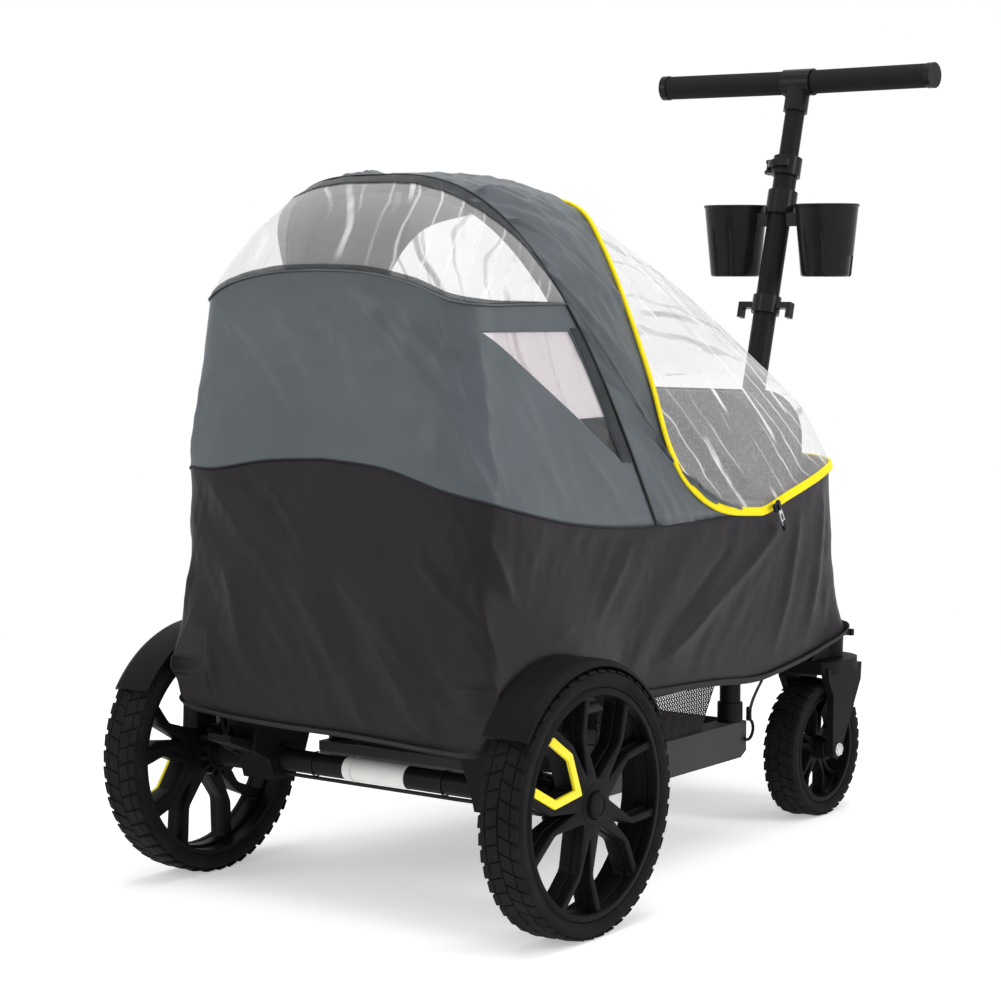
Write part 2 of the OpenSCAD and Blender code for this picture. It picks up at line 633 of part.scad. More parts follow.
// Window inside one spoke pair, seen along the axle: a kinked, petal-like outline.
function petal(s, grow) = [
    [28 * s - grow * 1.6, 0], [72 * s, -34 * s - grow], [150 * s, -38 * s - grow],
    [150 * s, 38 * s + grow], [72 * s, 34 * s + grow]];
// Window between two neighbouring pairs.
function gap(s) = [[38 * s, 0], [86 * s, -9.5 * s], [147 * s, -50 * s], [147 * s, 50 * s], [86 * s, 9.5 * s]];

module windows(s, r) intersection() {
    circle(r = r);
    for (k = [0 : spoke_pairs - 1]) rotate(k * 360 / spoke_pairs) {
        polygon(petal(s, 0));
        rotate(180 / spoke_pairs) polygon(gap(s));
    }
}

// The frame of a wheel: +Z runs outwards along the axle, from the middle of the tyre.
module at_rear_wheel(side)
    translate([0, side * rear_track / 2, rear_wheel_r]) rotate([side * -90, 0, 0]) children();
module at_front_wheel(side)
    translate([front_axle_x, side * swivel_y, front_wheel_r]) rotate([side * -90, 0, 0]) children();

// Moulded rim: band, kinked spokes and hub. A list holds where each starts and ends along the axle.
module rim(turn, seat, w, s, spokes, hub_r, hub) {
    rotate_extrude($fn = 128) polygon([
        [seat - 6, -w / 2 + 4], [seat, -w / 2 + 4], [seat, w / 2 - 4], [seat - 4, w / 2 - 2],
        [seat - 8, w / 2 - 2], [seat - 8, w / 2 - 8], [seat - 6, w / 2 - 8]]);
    translate([0, 0, spokes[0]]) linear_extrude(spokes[1] - spokes[0]) rotate(turn) difference() {
        circle(r = seat - 4);
        windows(s, seat - 7);
    }
    translate([0, 0, hub[0]]) cylinder(r = hub_r, h = hub[1] - hub[0]);
}

rear_scale = 1;
rear_spokes = [-4, 24];
hub_out = 24;
pocket_z = 12;         // bottom of the push button's pocket, from the tyre's middle
function petal_turn(side) = side > 0 ? -197 : 149.5;
module rear_rim(side) color(near_black) at_rear_wheel(side) difference() {
    union() {
        rim(petal_turn(side), rear_rim_r, rear_tyre_w, rear_scale, rear_spokes, 24, [-hub_half, hub_out]);
        translate([0, 0, -hub_half]) linear_extrude(10) brake_ring();
    }
    translate([0, 0, -hub_half - through]) cylinder(r = stub_r + slack, h = hub_half + pocket_z + 2 * through);
    translate([0, 0, pocket_z]) cylinder(r = button_r + 0.2, h = 20);
}

// Toothed ring on the inner end of the hub, which the brake pin locks into.
module brake_ring() difference() {
    circle(r = brake_r);
    for (k = [0 : brake_teeth - 1]) rotate(k * 360 / brake_teeth)
        translate([brake_r, 0]) square([16, 7], center = true);
}

module rim_insert(side) color(yellow) at_rear_wheel(side)
    translate([0, 0, 11]) linear_extrude(13.5) rotate(petal_turn(side)) difference() {
        intersection() {
            circle(r = 122);
            polygon(petal(rear_scale, 0));
        }
        polygon(petal(rear_scale, -10.5));
    }

module hub_button(side) color(dark_grey) at_rear_wheel(side) translate([0, 0, pocket_z + button_travel + 0.2]) {
    cylinder(r = button_r, h = 11);
    translate([0, 0, 11]) cylinder(r1 = button_r, r2 = button_r - 4, h = 3);
}

module rear_tyre(side) color(near_black) translate([0, side * rear_track / 2, rear_wheel_r])
    tyre_ring(rear_wheel_r, rear_rim_r, rear_tyre_w, rear_wheel_r - rear_rim_r);

module front_tyre(side) color(near_black) translate([front_axle_x, side * swivel_y, front_wheel_r])
    tyre_ring(front_wheel_r, front_rim_r, front_tyre_w, front_wheel_r - front_rim_r);

front_scale = 0.56;
module front_rim(side) color(near_black) at_front_wheel(side) difference() {
    rim(50, front_rim_r, front_tyre_w, front_scale, [-9, 9], 16, [-27, 27]);
    translate([0, 0, -30]) cylinder(r = bolt_r + slack, h = 60);
}

// ---------------------------------------------------------------- brake

// Foot pedal on the left housing; pressing it pushes both brake pins into the toothed rings.
module brake_pedal() color(near_black) difference() {
    union() {
        cross_bar(pedal_x, pedal_z, lower_rail_y - 20, lower_rail_y + 20, 7);
        side_plate([[pedal_x, pedal_z + 6], [pedal_x - 44, pedal_z + 20], [pedal_x - 46, pedal_z + 12],
            [pedal_x, pedal_z - 6]], lower_rail_y - 18, lower_rail_y + 18);
    }
    cross_bar(pedal_x, pedal_z, lower_rail_y - 22, lower_rail_y + 22, hinge_r + slack);
}

pin_out = 254;
pin_len = 46;
module brake_pin(side) color(steel)
    cross_bar(0, pin_z, side > 0 ? pin_out - pin_len : -pin_out, side > 0 ? pin_out : pin_len - pin_out, brake_pin_r);

// ---------------------------------------------------------------- handle

module handle_bracket() color(near_black) {
    difference() {
        both_sides() side_plate([[680, 214], [740, 214], [796, 248], [800, 262], [794, 276], [780, 281], [765, 272],
            [744, 246], [680, 246]], 20.5, 27);
        cross_bar(cross_x[3], lower_rail_z, -60, 60, 9 + seat_gap);
    }
    cross_bar(pivot_dx, pivot_z, -31, 31, stub_r);
    both_sides() cross_bar(pivot_dx, pivot_z, 27, 31, 11);
}

// The outer tube is a little thicker where the clip and the cup bracket are clamped on it.
hook_s = 450;
hook_h = 26;
bracket_s = 600;
bracket_h = 36;
seat_r = handle_r + 0.4;
module handle_tube() color(near_black) difference() {
    union() {
        along_handle() {
            cylinder(r = handle_r, h = outer_len);
            translate([0, 0, hook_s]) cylinder(r = seat_r, h = hook_h);
            translate([0, 0, bracket_s]) cylinder(r = seat_r, h = bracket_h);
            translate([-handle_r, -18, -8]) cube([2 * handle_r, 36, 60]);
        }
        cross_bar(pivot_dx, pivot_z, -20, 20, handle_r);
    }
    along_handle(60) cylinder(r = inner_r + slack, h = outer_len);
    cross_bar(pivot_dx, pivot_z, -40, 40, stub_r + slack);
}

// Quick-release collar on the top of the outer tube, with ears for the lever's pin.
collar_s = 660;
collar_h = 28;
lever_y = 29;
lever_pin_r = 2;
module clamp_collar() color(near_black) along_handle(collar_s) {
    difference() {
        union() {
            cylinder(r = 21.5, h = collar_h);
            translate([-7, 14, 4]) cube([14, 15, 20]);
            translate([0, lever_y, 4]) cylinder(r = 7, h = 20);
        }
        translate([0, 0, -through]) cylinder(r = handle_r, h = outer_len - collar_s + through);
        cylinder(r = inner_r + slack, h = 40);
        translate([0, 0, 8]) difference() {
            translate([-20, 14, 0]) cube([40, 30, 12]);
            cylinder(r = 21.9, h = 30, center = true);
        }
    }
    translate([0, lever_y, 4]) cylinder(r = lever_pin_r, h = 20);
}

// Lever of the quick release, wrapped round the back of the collar.
module clamp_lever() color(near_black) along_handle(collar_s + 9) difference() {
    union() {
        translate([0, lever_y, 0]) cylinder(r = 5, h = 10);
        rotate(94) rotate_extrude(angle = 84) translate([22.4, 0]) square([5.6, 10]);
        translate([-28, -16, 0]) cube([5, 17, 10]);
    }
    translate([0, lever_y, -through]) cylinder(r = lever_pin_r + slack, h = 12);
}

cup_z = 750;
cup_h = 106;
cup_y = 77;
cup_top_r = 47;
cup_low_r = 37;
cup_t = 2.5;
handle_x = function (z) pivot_dx + (z - pivot_z) * tan(handle_lean);
cup_x = handle_x(cup_z + cup_h - 5);
module cup_bracket() color(near_black) difference() {
    union() {
        along_handle(bracket_s) cylinder(r = 22, h = bracket_h);
        translate([cup_x - 12, -cup_y + 24, 824]) cube([24, 2 * cup_y - 48, 20]);
    }
    along_handle() cylinder(r = seat_r, h = outer_len);
    both_sides() translate([cup_x, cup_y, cup_z]) cylinder(r1 = cup_low_r, r2 = cup_top_r, h = cup_h);
}

module cup_holders() color(near_black) both_sides() translate([cup_x, cup_y, cup_z]) difference() {
    union() {
        cylinder(r1 = cup_low_r, r2 = cup_top_r, h = cup_h);
        translate([0, 0, cup_h - 3]) cylinder(r = cup_top_r + 0.8, h = 3);
    }
    translate([0, 0, 4]) cylinder(r1 = cup_low_r - cup_t, r2 = cup_top_r - cup_t + 0.2, h = cup_h - 3.9);
    for (a = [-21, 159]) rotate([0, 0, a]) rotate_extrude(angle = 42)
        polygon([[cup_low_r - 0.5, 7], [cup_top_r + 4, 7], [cup_top_r + 4, 74], [cup_low_r + 5.8, 74]]);
}

module hook_clip() color(near_black) along_handle(hook_s) difference() {
    union() {
        cylinder(r = 21, h = hook_h);
        both_sides() {
            translate([-6, 14, 8]) cube([12, 30, 9]);
            translate([-6, 37, -6]) cube([12, 7, 20]);
        }
    }
    translate([0, 0, -20]) cylinder(r = seat_r, h = 80);
}

grip_len = grip_half - 24 - 10;
grip_bar_r = 11;       // bar of the T joint inside each grip

module inner_tube() color(near_black) along_handle(430) difference() {
    cylinder(r = inner_r, h = grip_s - 24 - 430);
    translate([0, 0, -through]) cylinder(r = inner_r - 1.8, h = 400);
}

module tee_joint() color(near_black) along_handle(grip_s) {
    cross_bar(0, 0, -24, 24, 20);
    translate([0, 0, -46]) difference() {
        cylinder(r = 18, h = 40);
        translate([0, 0, -through]) cylinder(r = inner_r, h = 23);
    }
    rotate([0, -handle_lean, 0]) both_sides() translate([0, 24, 0]) rotate([-90, 0, grip_sweep])
        translate([0, 0, -8]) cylinder(r = grip_bar_r - seat_gap, h = grip_len - 12);
}

module along_grip() along_handle(grip_s) rotate([0, -handle_lean, 0]) both_sides()
    translate([0, 24, 0]) rotate([-90, 0, grip_sweep]) children();
module grips() color(dark_grey) along_grip() difference() {
    translate([0, 0, 1.4]) cylinder(r = grip_r, h = grip_len - 1.4);
    translate([0, 0, -through]) cylinder(r = grip_bar_r, h = grip_len + 2 * through);
}
module end_caps() color(near_black) along_grip() translate([0, 0, grip_len]) {
    cylinder(r = grip_r + 1, h = 10);
    translate([0, 0, -20]) cylinder(r = grip_bar_r - seat_gap, h = 20);
}

from_axle() rear_axle_tube();
from_axle() rear_axle_pins();
from_axle() rear_brackets();
from_axle() brake_cable();
from_axle() fenders();
from_axle() footwell_pan();
from_axle() posts();
from_axle() footwell_mesh();
from_axle() lower_frame();
from_axle() upper_rails();
from_axle() basket_floor();
from_axle() basket_walls();
from_axle() seat_cushions();
from_axle() caster_housings();
from_axle() handle_bracket();
from_axle() canopy_hoops();
from_axle() canopy_sheet();
from_axle() skirt_rear();
from_axle() skirt_sides();
from_axle() skirt_front();
from_axle() cover_rear_panel();
from_axle() cover_side_panels();
from_axle() side_windows();
from_axle() cover_hood();
from_axle() rear_film();
from_axle() front_film();
from_axle() cover_zip();
from_axle() zip_sliders();
from_axle() tie_downs();
from_axle() rear_tyre(LEFT);  // rear_tyre_left
from_axle() rear_tyre(RIGHT);  // rear_tyre_right
from_axle() rear_rim(LEFT);  // rear_rim_left
from_axle() rear_rim(RIGHT);  // rear_rim_right
from_axle() rim_insert(LEFT);  // rim_insert_left
from_axle() rim_insert(RIGHT);  // rim_insert_right
from_axle() hub_button(LEFT);  // hub_button_left
from_axle() hub_button(RIGHT);  // hub_button_right
from_axle() front_tyre(LEFT);  // front_tyre_left
from_axle() front_tyre(RIGHT);  // front_tyre_right
from_axle() front_rim(LEFT);  // front_rim_left
from_axle() front_rim(RIGHT);  // front_rim_right
from_axle() caster_fork(LEFT);  // caster_fork_left
from_axle() caster_fork(RIGHT);  // caster_fork_right
from_axle() fork_axle(LEFT);  // fork_axle_left
from_axle() fork_axle(RIGHT);  // fork_axle_right
from_axle() swivel_lock(LEFT);  // swivel_lock_left
from_axle() swivel_lock(RIGHT);  // swivel_lock_right
from_axle() brake_pedal();
from_axle() brake_pin(LEFT);  // brake_pin_left
from_axle() brake_pin(RIGHT);  // brake_pin_right
from_axle() handle_tube();
from_axle() clamp_collar();
from_axle() clamp_lever();
from_axle() cup_bracket();
from_axle() cup_holders();
from_axle() hook_clip();
from_axle() inner_tube();
from_axle() tee_joint();
from_axle() grips();
from_axle() end_caps();
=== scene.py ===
from math import cos, floor, pi, radians, sin, sqrt
import bmesh
import bpy
import numpy as np
from mathutils import Matrix, Vector


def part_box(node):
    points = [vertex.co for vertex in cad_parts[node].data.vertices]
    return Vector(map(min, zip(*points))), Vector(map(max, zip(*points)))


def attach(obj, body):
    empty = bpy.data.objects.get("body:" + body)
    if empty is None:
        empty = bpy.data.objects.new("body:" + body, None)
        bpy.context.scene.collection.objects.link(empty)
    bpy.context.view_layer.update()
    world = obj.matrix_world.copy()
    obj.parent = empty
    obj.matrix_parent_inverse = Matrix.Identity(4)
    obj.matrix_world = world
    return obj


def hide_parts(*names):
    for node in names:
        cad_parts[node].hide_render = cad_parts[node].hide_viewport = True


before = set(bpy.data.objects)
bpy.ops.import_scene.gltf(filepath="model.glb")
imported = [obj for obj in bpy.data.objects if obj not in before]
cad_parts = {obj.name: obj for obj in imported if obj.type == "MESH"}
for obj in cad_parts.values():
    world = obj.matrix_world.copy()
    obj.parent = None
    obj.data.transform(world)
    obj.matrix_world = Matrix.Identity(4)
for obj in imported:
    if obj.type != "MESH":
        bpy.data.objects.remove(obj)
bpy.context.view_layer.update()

# ---------------------------------------------------------------- camera, lamps and floor
# A long lens stands low behind the wagon's right rear wheel. Three broad lamps and a pale world
# light it, and the floor fades into a white background that gloss and film show too.
axle_low, axle_high = (np.array(c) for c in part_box("rear_axle_tube"))
AXLE = (axle_low + axle_high) / 2          # middle of the rear axle
lens_place = np.array([-2.36301, -1.91616, 0.75890])
lens_turn, lens_dip = 36.3213, 5.1455
camera = bpy.data.objects.new("camera", bpy.data.cameras.new("camera"))
camera.data.sensor_width = 36.0
camera.data.lens = 91.803
camera.location = (lens_place[0] + AXLE[0], lens_place[1], lens_place[2])
camera.rotation_euler = (radians(90 - lens_dip), 0, radians(lens_turn - 90))
bpy.context.collection.objects.link(camera)
bpy.context.scene.camera = camera
bpy.context.scene.view_settings.view_transform = "Standard"


def lamp(name, place, target, size, power):
    light = bpy.data.objects.new(name, bpy.data.lights.new(name, "AREA"))
    light.data.shape = "RECTANGLE"
    light.data.size, light.data.size_y = size
    light.data.energy = power
    light.location = place
    light.rotation_euler = (Vector(target) - Vector(place)).to_track_quat("-Z", "Y").to_euler()
    bpy.context.collection.objects.link(light)


lamp("lamp_above", (-0.4, -0.2, 3.2), (0, 0, 0.4), (2.4, 2.4), 52)
lamp("lamp_right", (0.9, -3.4, 1.9), (0, 0, 0.5), (1.2, 2.4), 50)
lamp("lamp_rear", (-3.4, 1.6, 1.9), (0, 0, 0.5), (1.2, 2.2), 30)

world = bpy.data.worlds.new("studio")
bpy.context.scene.world = world
world.use_nodes = True
wn, wl = world.node_tree.nodes, world.node_tree.links
wn["Background"].inputs["Color"].default_value = (1, 1, 1, 1)
wn["Background"].inputs["Strength"].default_value = 0.5
seen = wn.new("ShaderNodeBackground")
seen.inputs["Color"].default_value = (1, 1, 1, 1)
seen.inputs["Strength"].default_value = 1.0
paths = wn.new("ShaderNodeLightPath")
direct, shown = wn.new("ShaderNodeMath"), wn.new("ShaderNodeMath")
direct.operation = shown.operation = "MAXIMUM"
choose = wn.new("ShaderNodeMixShader")
wl.new(paths.outputs["Is Camera Ray"], direct.inputs[0])
wl.new(paths.outputs["Is Transmission Ray"], direct.inputs[1])
wl.new(direct.outputs[0], shown.inputs[0])
wl.new(paths.outputs["Is Glossy Ray"], shown.inputs[1])
wl.new(shown.outputs[0], choose.inputs[0])
wl.new(wn["Background"].outputs[0], choose.inputs[1])
wl.new(seen.outputs[0], choose.inputs[2])
wl.new(choose.outputs[0], wn["World Output"].inputs["Surface"])

floor_mesh = bpy.data.meshes.new("floor")
floor_mesh.from_pydata([(-9, -9, 0), (9, -9, 0), (9, 9, 0), (-9, 9, 0)], [], [(0, 1, 2, 3)])
floor_sheet = bpy.data.objects.new("floor", floor_mesh)
bpy.context.collection.objects.link(floor_sheet)
pale = bpy.data.materials.new("pale_floor")
pale.use_nodes = True
pn, pl = pale.node_tree.nodes, pale.node_tree.links
pn["Principled BSDF"].inputs["Base Color"].default_value = (0.93, 0.93, 0.93, 1)
pn["Principled BSDF"].inputs["Specular IOR Level"].default_value = 0.0
pn["Principled BSDF"].inputs["Emission Color"].default_value = (1, 1, 1, 1)
pn["Principled BSDF"].inputs["Emission Strength"].default_value = 0.4
floor_place, far = pn.new("ShaderNodeTexCoord"), pn.new("ShaderNodeVectorMath")
far.operation = "LENGTH"
pl.new(floor_place.outputs["Object"], far.inputs[0])
fade = pn.new("ShaderNodeMapRange")
fade.interpolation_type = "SMOOTHSTEP"
fade.inputs["From Min"].default_value, fade.inputs["From Max"].default_value = 0.9, 2.2
pl.new(far.outputs["Value"], fade.inputs["Value"])
bright, blend = pn.new("ShaderNodeEmission"), pn.new("ShaderNodeMixShader")
bright.inputs["Color"].default_value = (1, 1, 1, 1)
pl.new(fade.outputs[0], blend.inputs[0])
pl.new(pn["Principled BSDF"].outputs[0], blend.inputs[1])
pl.new(bright.outputs[0], blend.inputs[2])
pl.new(blend.outputs[0], pn["Material Output"].inputs["Surface"])
floor_mesh.materials.append(pale)

# ---------------------------------------------------------------- weather cover: dark skirt
# A loop of coated polyester hangs round the basket, from the seam at the rails to a bound,
# elasticated hem. It is held out by the frame and creases between the places it is tied at.


def millimetres(points):
    """Points in millimetres from the rear axle, as points of the frame in metres."""
    return np.array(points, float) / 1000 + [AXLE[0], 0, 0]


def curve_at(points, places):
    """A smooth curve through control points, at places counted in spans."""
    points, places = np.asarray(points, float), np.asarray(places, float)
    i = np.clip(np.floor(places).astype(int), 0, len(points) - 2)
    t = (places - i)[:, None]
    a, b, c, d = (points[np.clip(i + k, 0, len(points) - 1)] for k in (-1, 0, 1, 2))
    return 0.5 * (2 * b + (c - a) * t + (2 * a - 5 * b + 4 * c - d) * t**2
                  + (3 * b - a - 3 * c + d) * t**3)


def grid_normals(grid):
    """Unit normals of a grid of points, turned away from the middle of the cabin."""
    across = np.gradient(grid, axis=1)
    up = np.gradient(grid, axis=0)
    n = np.cross(across, up)
    n /= np.maximum(np.linalg.norm(n, axis=2, keepdims=True), 1e-9)
    middle = np.stack([np.clip(grid[..., 0], AXLE[0] + 0.04, AXLE[0] + 0.64),
                       np.zeros(grid.shape[:2]), np.full(grid.shape[:2], 0.42)], axis=2)
    away = np.sign(np.sum(n * (grid - middle), axis=2, keepdims=True))
    return n * np.where(away == 0, 1, away)


def crease(points, folds):
    """Height of a set of folds, each [start, end, width, height] in millimetres."""
    rise = np.zeros(points.shape[:-1])
    for start, end, width, height in folds:
        a, b = millimetres(start), millimetres(end)
        t = np.clip(np.sum((points - a) * (b - a), axis=-1) / np.sum((b - a) ** 2), 0, 1)
        gap = np.linalg.norm(points - (a + t[..., None] * (b - a)), axis=-1)
        crest = np.exp(-((gap * 1000 / width) ** 1.5))
        rise += height / 1000 * crest * np.sin(pi * np.clip(t, 0.03, 0.97)) ** 0.6
    return rise


def ripple(points, along, length, height, seed, sharp=False):
    """Irregular wrinkles that run along a direction, spaced about a length apart; sharp ones have ridges."""
    rng = np.random.default_rng(seed)
    along = np.array(along, float) / np.linalg.norm(along)
    rise = np.zeros(points.shape[:-1])
    for k in range(7):
        other = np.cross(along, rng.normal(size=3))
        other /= np.linalg.norm(other)
        wave = 2 * pi / (length / 1000 * rng.uniform(0.6, 1.6))
        sway = 0.25 * np.sin(points @ (along * 2 * pi / (length / 1000 * 5)) + rng.uniform(0, 6))
        swing = np.sin(points @ (other * wave) + 3 * sway + rng.uniform(0, 6))
        rise += (0.6 - 1.2 * np.abs(swing) if sharp else swing) / 7
    patch = np.sin(points @ (rng.normal(size=3) * 9) + 1) * np.sin(points @ (rng.normal(size=3) * 13) + 2)
    return height / 1000 * rise * (0.55 + 0.45 * patch)


def new_piece(name, points, faces, material, body="root", uv=None, smooth=True):
    """A mesh of its own that rides on a body of the frame."""
    mesh = bpy.data.meshes.new(name)
    mesh.from_pydata([tuple(p) for p in np.asarray(points, float)], [],
                     [tuple(int(i) for i in f) for f in faces])
    mesh.validate()
    if uv is not None:
        layer = mesh.uv_layers.new(name="flat")
        for loop in mesh.loops:
            layer.data[loop.index].uv = uv[loop.vertex_index]
    mesh.materials.append(material)
    if smooth:
        mesh.shade_smooth()
    piece = bpy.data.objects.new(name, mesh)
    bpy.context.collection.objects.link(piece)
    if body:
        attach(piece, body)
    return piece


def grid_faces(rows, columns, closed=False):
    last = columns if closed else columns - 1
    return [(i * columns + j, i * columns + (j + 1) % columns,
             (i + 1) * columns + (j + 1) % columns, (i + 1) * columns + j)
            for i in range(rows - 1) for j in range(last)]


def fix_normals(piece, weld=0.00002):
    """Doubles merged and faces turned outwards, for a closed form."""
    bm = bmesh.new()
    bm.from_mesh(piece.data)
    bmesh.ops.remove_doubles(bm, verts=bm.verts, dist=weld)
    bmesh.ops.recalc_face_normals(bm, faces=bm.faces)
    bm.to_mesh(piece.data)
    bm.free()


def thicken(piece, thickness, offset=-1.0):
    solid = piece.modifiers.new("thickness", "SOLIDIFY")
    solid.thickness = thickness
    solid.offset = offset


def cloth_sheet(name, grid, material, thickness=0.0012, height=None, closed=False, body="root",
                uv_scale=1.0):
    """A sheet of cloth over a grid of points, pushed out along its normals by a height."""
    rows, columns = grid.shape[:2]
    normals = grid_normals(grid)
    if height is not None:
        grid = grid + normals * height[..., None]
    run = np.concatenate([[0], np.cumsum(np.linalg.norm(np.diff(grid[rows // 2], axis=0), axis=1))])
    climb = np.concatenate([[0], np.cumsum(np.linalg.norm(np.diff(grid[:, columns // 2], axis=0),
                                                          axis=1))])
    uv = [(run[j] * uv_scale, climb[i] * uv_scale) for i in range(rows) for j in range(columns)]
    faces = grid_faces(rows, columns, closed)
    a, b, c = (grid.reshape(-1, 3)[faces[len(faces) // 2][k]] for k in (0, 1, 2))
    mid = normals.reshape(-1, 3)[faces[len(faces) // 2][0]]
    if np.dot(np.cross(b - a, c - b), mid) < 0:
        faces = [f[::-1] for f in faces]
    piece = new_piece(name, grid.reshape(-1, 3), faces, material, body, uv)
    thicken(piece, thickness)
    return piece


def tube(name, path, radius, material, body="root", sides=10, closed=False, flat=1.0):
    """A round or flattened piping along a path of points."""
    path = np.asarray(path, float)
    n = len(path)
    if closed:
        ahead = np.roll(path, -1, axis=0) - np.roll(path, 1, axis=0)
    else:
        ahead = np.gradient(path, axis=0)
    ahead /= np.linalg.norm(ahead, axis=1, keepdims=True)
    side = np.cross(ahead, [0.0, 0.0, 1.0])
    weak = np.linalg.norm(side, axis=1) < 0.25
    side[weak] = np.cross(ahead[weak], [0.0, 1.0, 0.0])
    for k in range(1, n):                      # carried along, so the rings don't twist
        s = side[k - 1] - ahead[k] * np.dot(side[k - 1], ahead[k])
        side[k] = s / np.linalg.norm(s)
    side[0] /= np.linalg.norm(side[0])
    over = np.cross(side, ahead)
    turn = np.arange(sides) * 2 * pi / sides
    radius = np.broadcast_to(np.asarray(radius, float), (n,))
    rings = path[:, None] + radius[:, None, None] * (
        np.cos(turn)[None, :, None] * side[:, None] + flat * np.sin(turn)[None, :, None] * over[:, None])
    faces = [(i * sides + k, i * sides + (k + 1) % sides, ((i + 1) % n) * sides + (k + 1) % sides,
              ((i + 1) % n) * sides + k)
             for i in range(n if closed else n - 1) for k in range(sides)]
    if not closed:
        faces += [tuple(range(sides))[::-1], tuple((n - 1) * sides + k for k in range(sides))]
    piece = new_piece(name, rings.reshape(-1, 3), faces, material, body)
    fix_normals(piece, 0.000001)
    return piece


def ribbon(name, path, width, thickness, material, body="root", closed=False, out=0.0):
    """A flat band laid along a path on the cover, with softly rounded edges."""
    path = np.asarray(path, float)
    middle = np.stack([np.clip(path[:, 0], AXLE[0] + 0.04, AXLE[0] + 0.64), np.zeros(len(path)),
                       np.full(len(path), 0.42)], axis=1)
    ahead = np.roll(path, -1, axis=0) - np.roll(path, 1, axis=0) if closed else np.gradient(path, axis=0)
    ahead /= np.linalg.norm(ahead, axis=1, keepdims=True)
    lift = path - middle
    lift -= ahead * np.sum(lift * ahead, axis=1, keepdims=True)
    lift /= np.linalg.norm(lift, axis=1, keepdims=True)
    side = np.cross(ahead, lift)
    section = [(-0.5, 0.0), (-0.46, 0.7), (-0.34, 1.0), (0.34, 1.0), (0.46, 0.7), (0.5, 0.0),
               (0.34, -0.2), (-0.34, -0.2)]
    width = np.broadcast_to(np.asarray(width, float), (len(path),))[:, None]
    rings = np.stack([path + side * a * width + lift * (out + b * thickness) for a, b in section], axis=1)
    n, k = len(path), len(section)
    faces = [(i * k + j, i * k + (j + 1) % k, ((i + 1) % n) * k + (j + 1) % k, ((i + 1) % n) * k + j)
             for i in range(n if closed else n - 1) for j in range(k)]
    if not closed:
        faces += [tuple(range(k))[::-1], tuple((n - 1) * k + j for j in range(k))]
    piece = new_piece(name, rings.reshape(-1, 3), faces, material, body)
    fix_normals(piece, 0.000001)
    return piece


# Share of the usual shine that is left on dull moulding and foam, and on woven cloth.
MATT, SATIN = 0.22, 0.5


def finish_of(name, colour, rough, vary=0.12, patch=14.0, grain=900.0, bump=0.12, depth=0.0004,
              rough_vary=0.08, stretch=(1, 1, 1), weave=0.0, **sockets):
    """A maker's finish: mottled colour, grain or weave in the surface, and uneven gloss."""
    material = bpy.data.materials.new(name)
    material.use_nodes = True
    n, link = material.node_tree.nodes, material.node_tree.links.new
    shader = n["Principled BSDF"]
    place = n.new("ShaderNodeTexCoord")
    scale = n.new("ShaderNodeMapping")
    scale.inputs["Scale"].default_value = stretch
    link(place.outputs["Object"], scale.inputs["Vector"])
    cloud = n.new("ShaderNodeTexNoise")
    cloud.inputs["Scale"].default_value = patch
    cloud.inputs["Detail"].default_value = 4
    link(scale.outputs[0], cloud.inputs["Vector"])
    tone = n.new("ShaderNodeValToRGB")
    tone.color_ramp.elements[0].position, tone.color_ramp.elements[1].position = 0.3, 0.7
    tone.color_ramp.elements[0].color = (*[c * (1 - vary) for c in colour], 1)
    tone.color_ramp.elements[1].color = (*[min(1, c * (1 + vary)) for c in colour], 1)
    link(cloud.outputs["Fac"], tone.inputs["Fac"])
    link(tone.outputs["Color"], shader.inputs["Base Color"])
    gloss = n.new("ShaderNodeMapRange")
    gloss.inputs["To Min"].default_value = max(0.02, rough - rough_vary)
    gloss.inputs["To Max"].default_value = min(1.0, rough + rough_vary)
    link(cloud.outputs["Fac"], gloss.inputs["Value"])
    link(gloss.outputs[0], shader.inputs["Roughness"])
    fine = n.new("ShaderNodeTexNoise")
    fine.inputs["Scale"].default_value = grain
    fine.inputs["Detail"].default_value = 2
    link(place.outputs["Object"], fine.inputs["Vector"])
    height = fine.outputs["Fac"]
    if weave:
        both = n.new("ShaderNodeMath")
        both.operation = "ADD"
        for k, direction in enumerate(("DIAGONAL", "Z")):
            thread = n.new("ShaderNodeTexWave")
            thread.bands_direction = direction
            thread.inputs["Scale"].default_value = weave
            thread.inputs["Distortion"].default_value = 0.6
            link(place.outputs["Object"], thread.inputs["Vector"])
            link(thread.outputs["Fac"], both.inputs[k])
        cover = n.new("ShaderNodeMath")
        cover.operation = "MULTIPLY_ADD"
        cover.inputs[1].default_value = 0.5
        link(both.outputs[0], cover.inputs[0])
        link(fine.outputs["Fac"], cover.inputs[2])
        height = cover.outputs[0]
    relief = n.new("ShaderNodeBump")
    relief.inputs["Strength"].default_value = bump
    relief.inputs["Distance"].default_value = depth
    link(height, relief.inputs["Height"])
    link(relief.outputs[0], shader.inputs["Normal"])
    for key, value in sockets.items():
        shader.inputs[key.replace("_", " ")].default_value = value
    if "Metallic" not in sockets:
        shader.inputs["Specular IOR Level"].default_value *= SATIN if weave else MATT
    return material


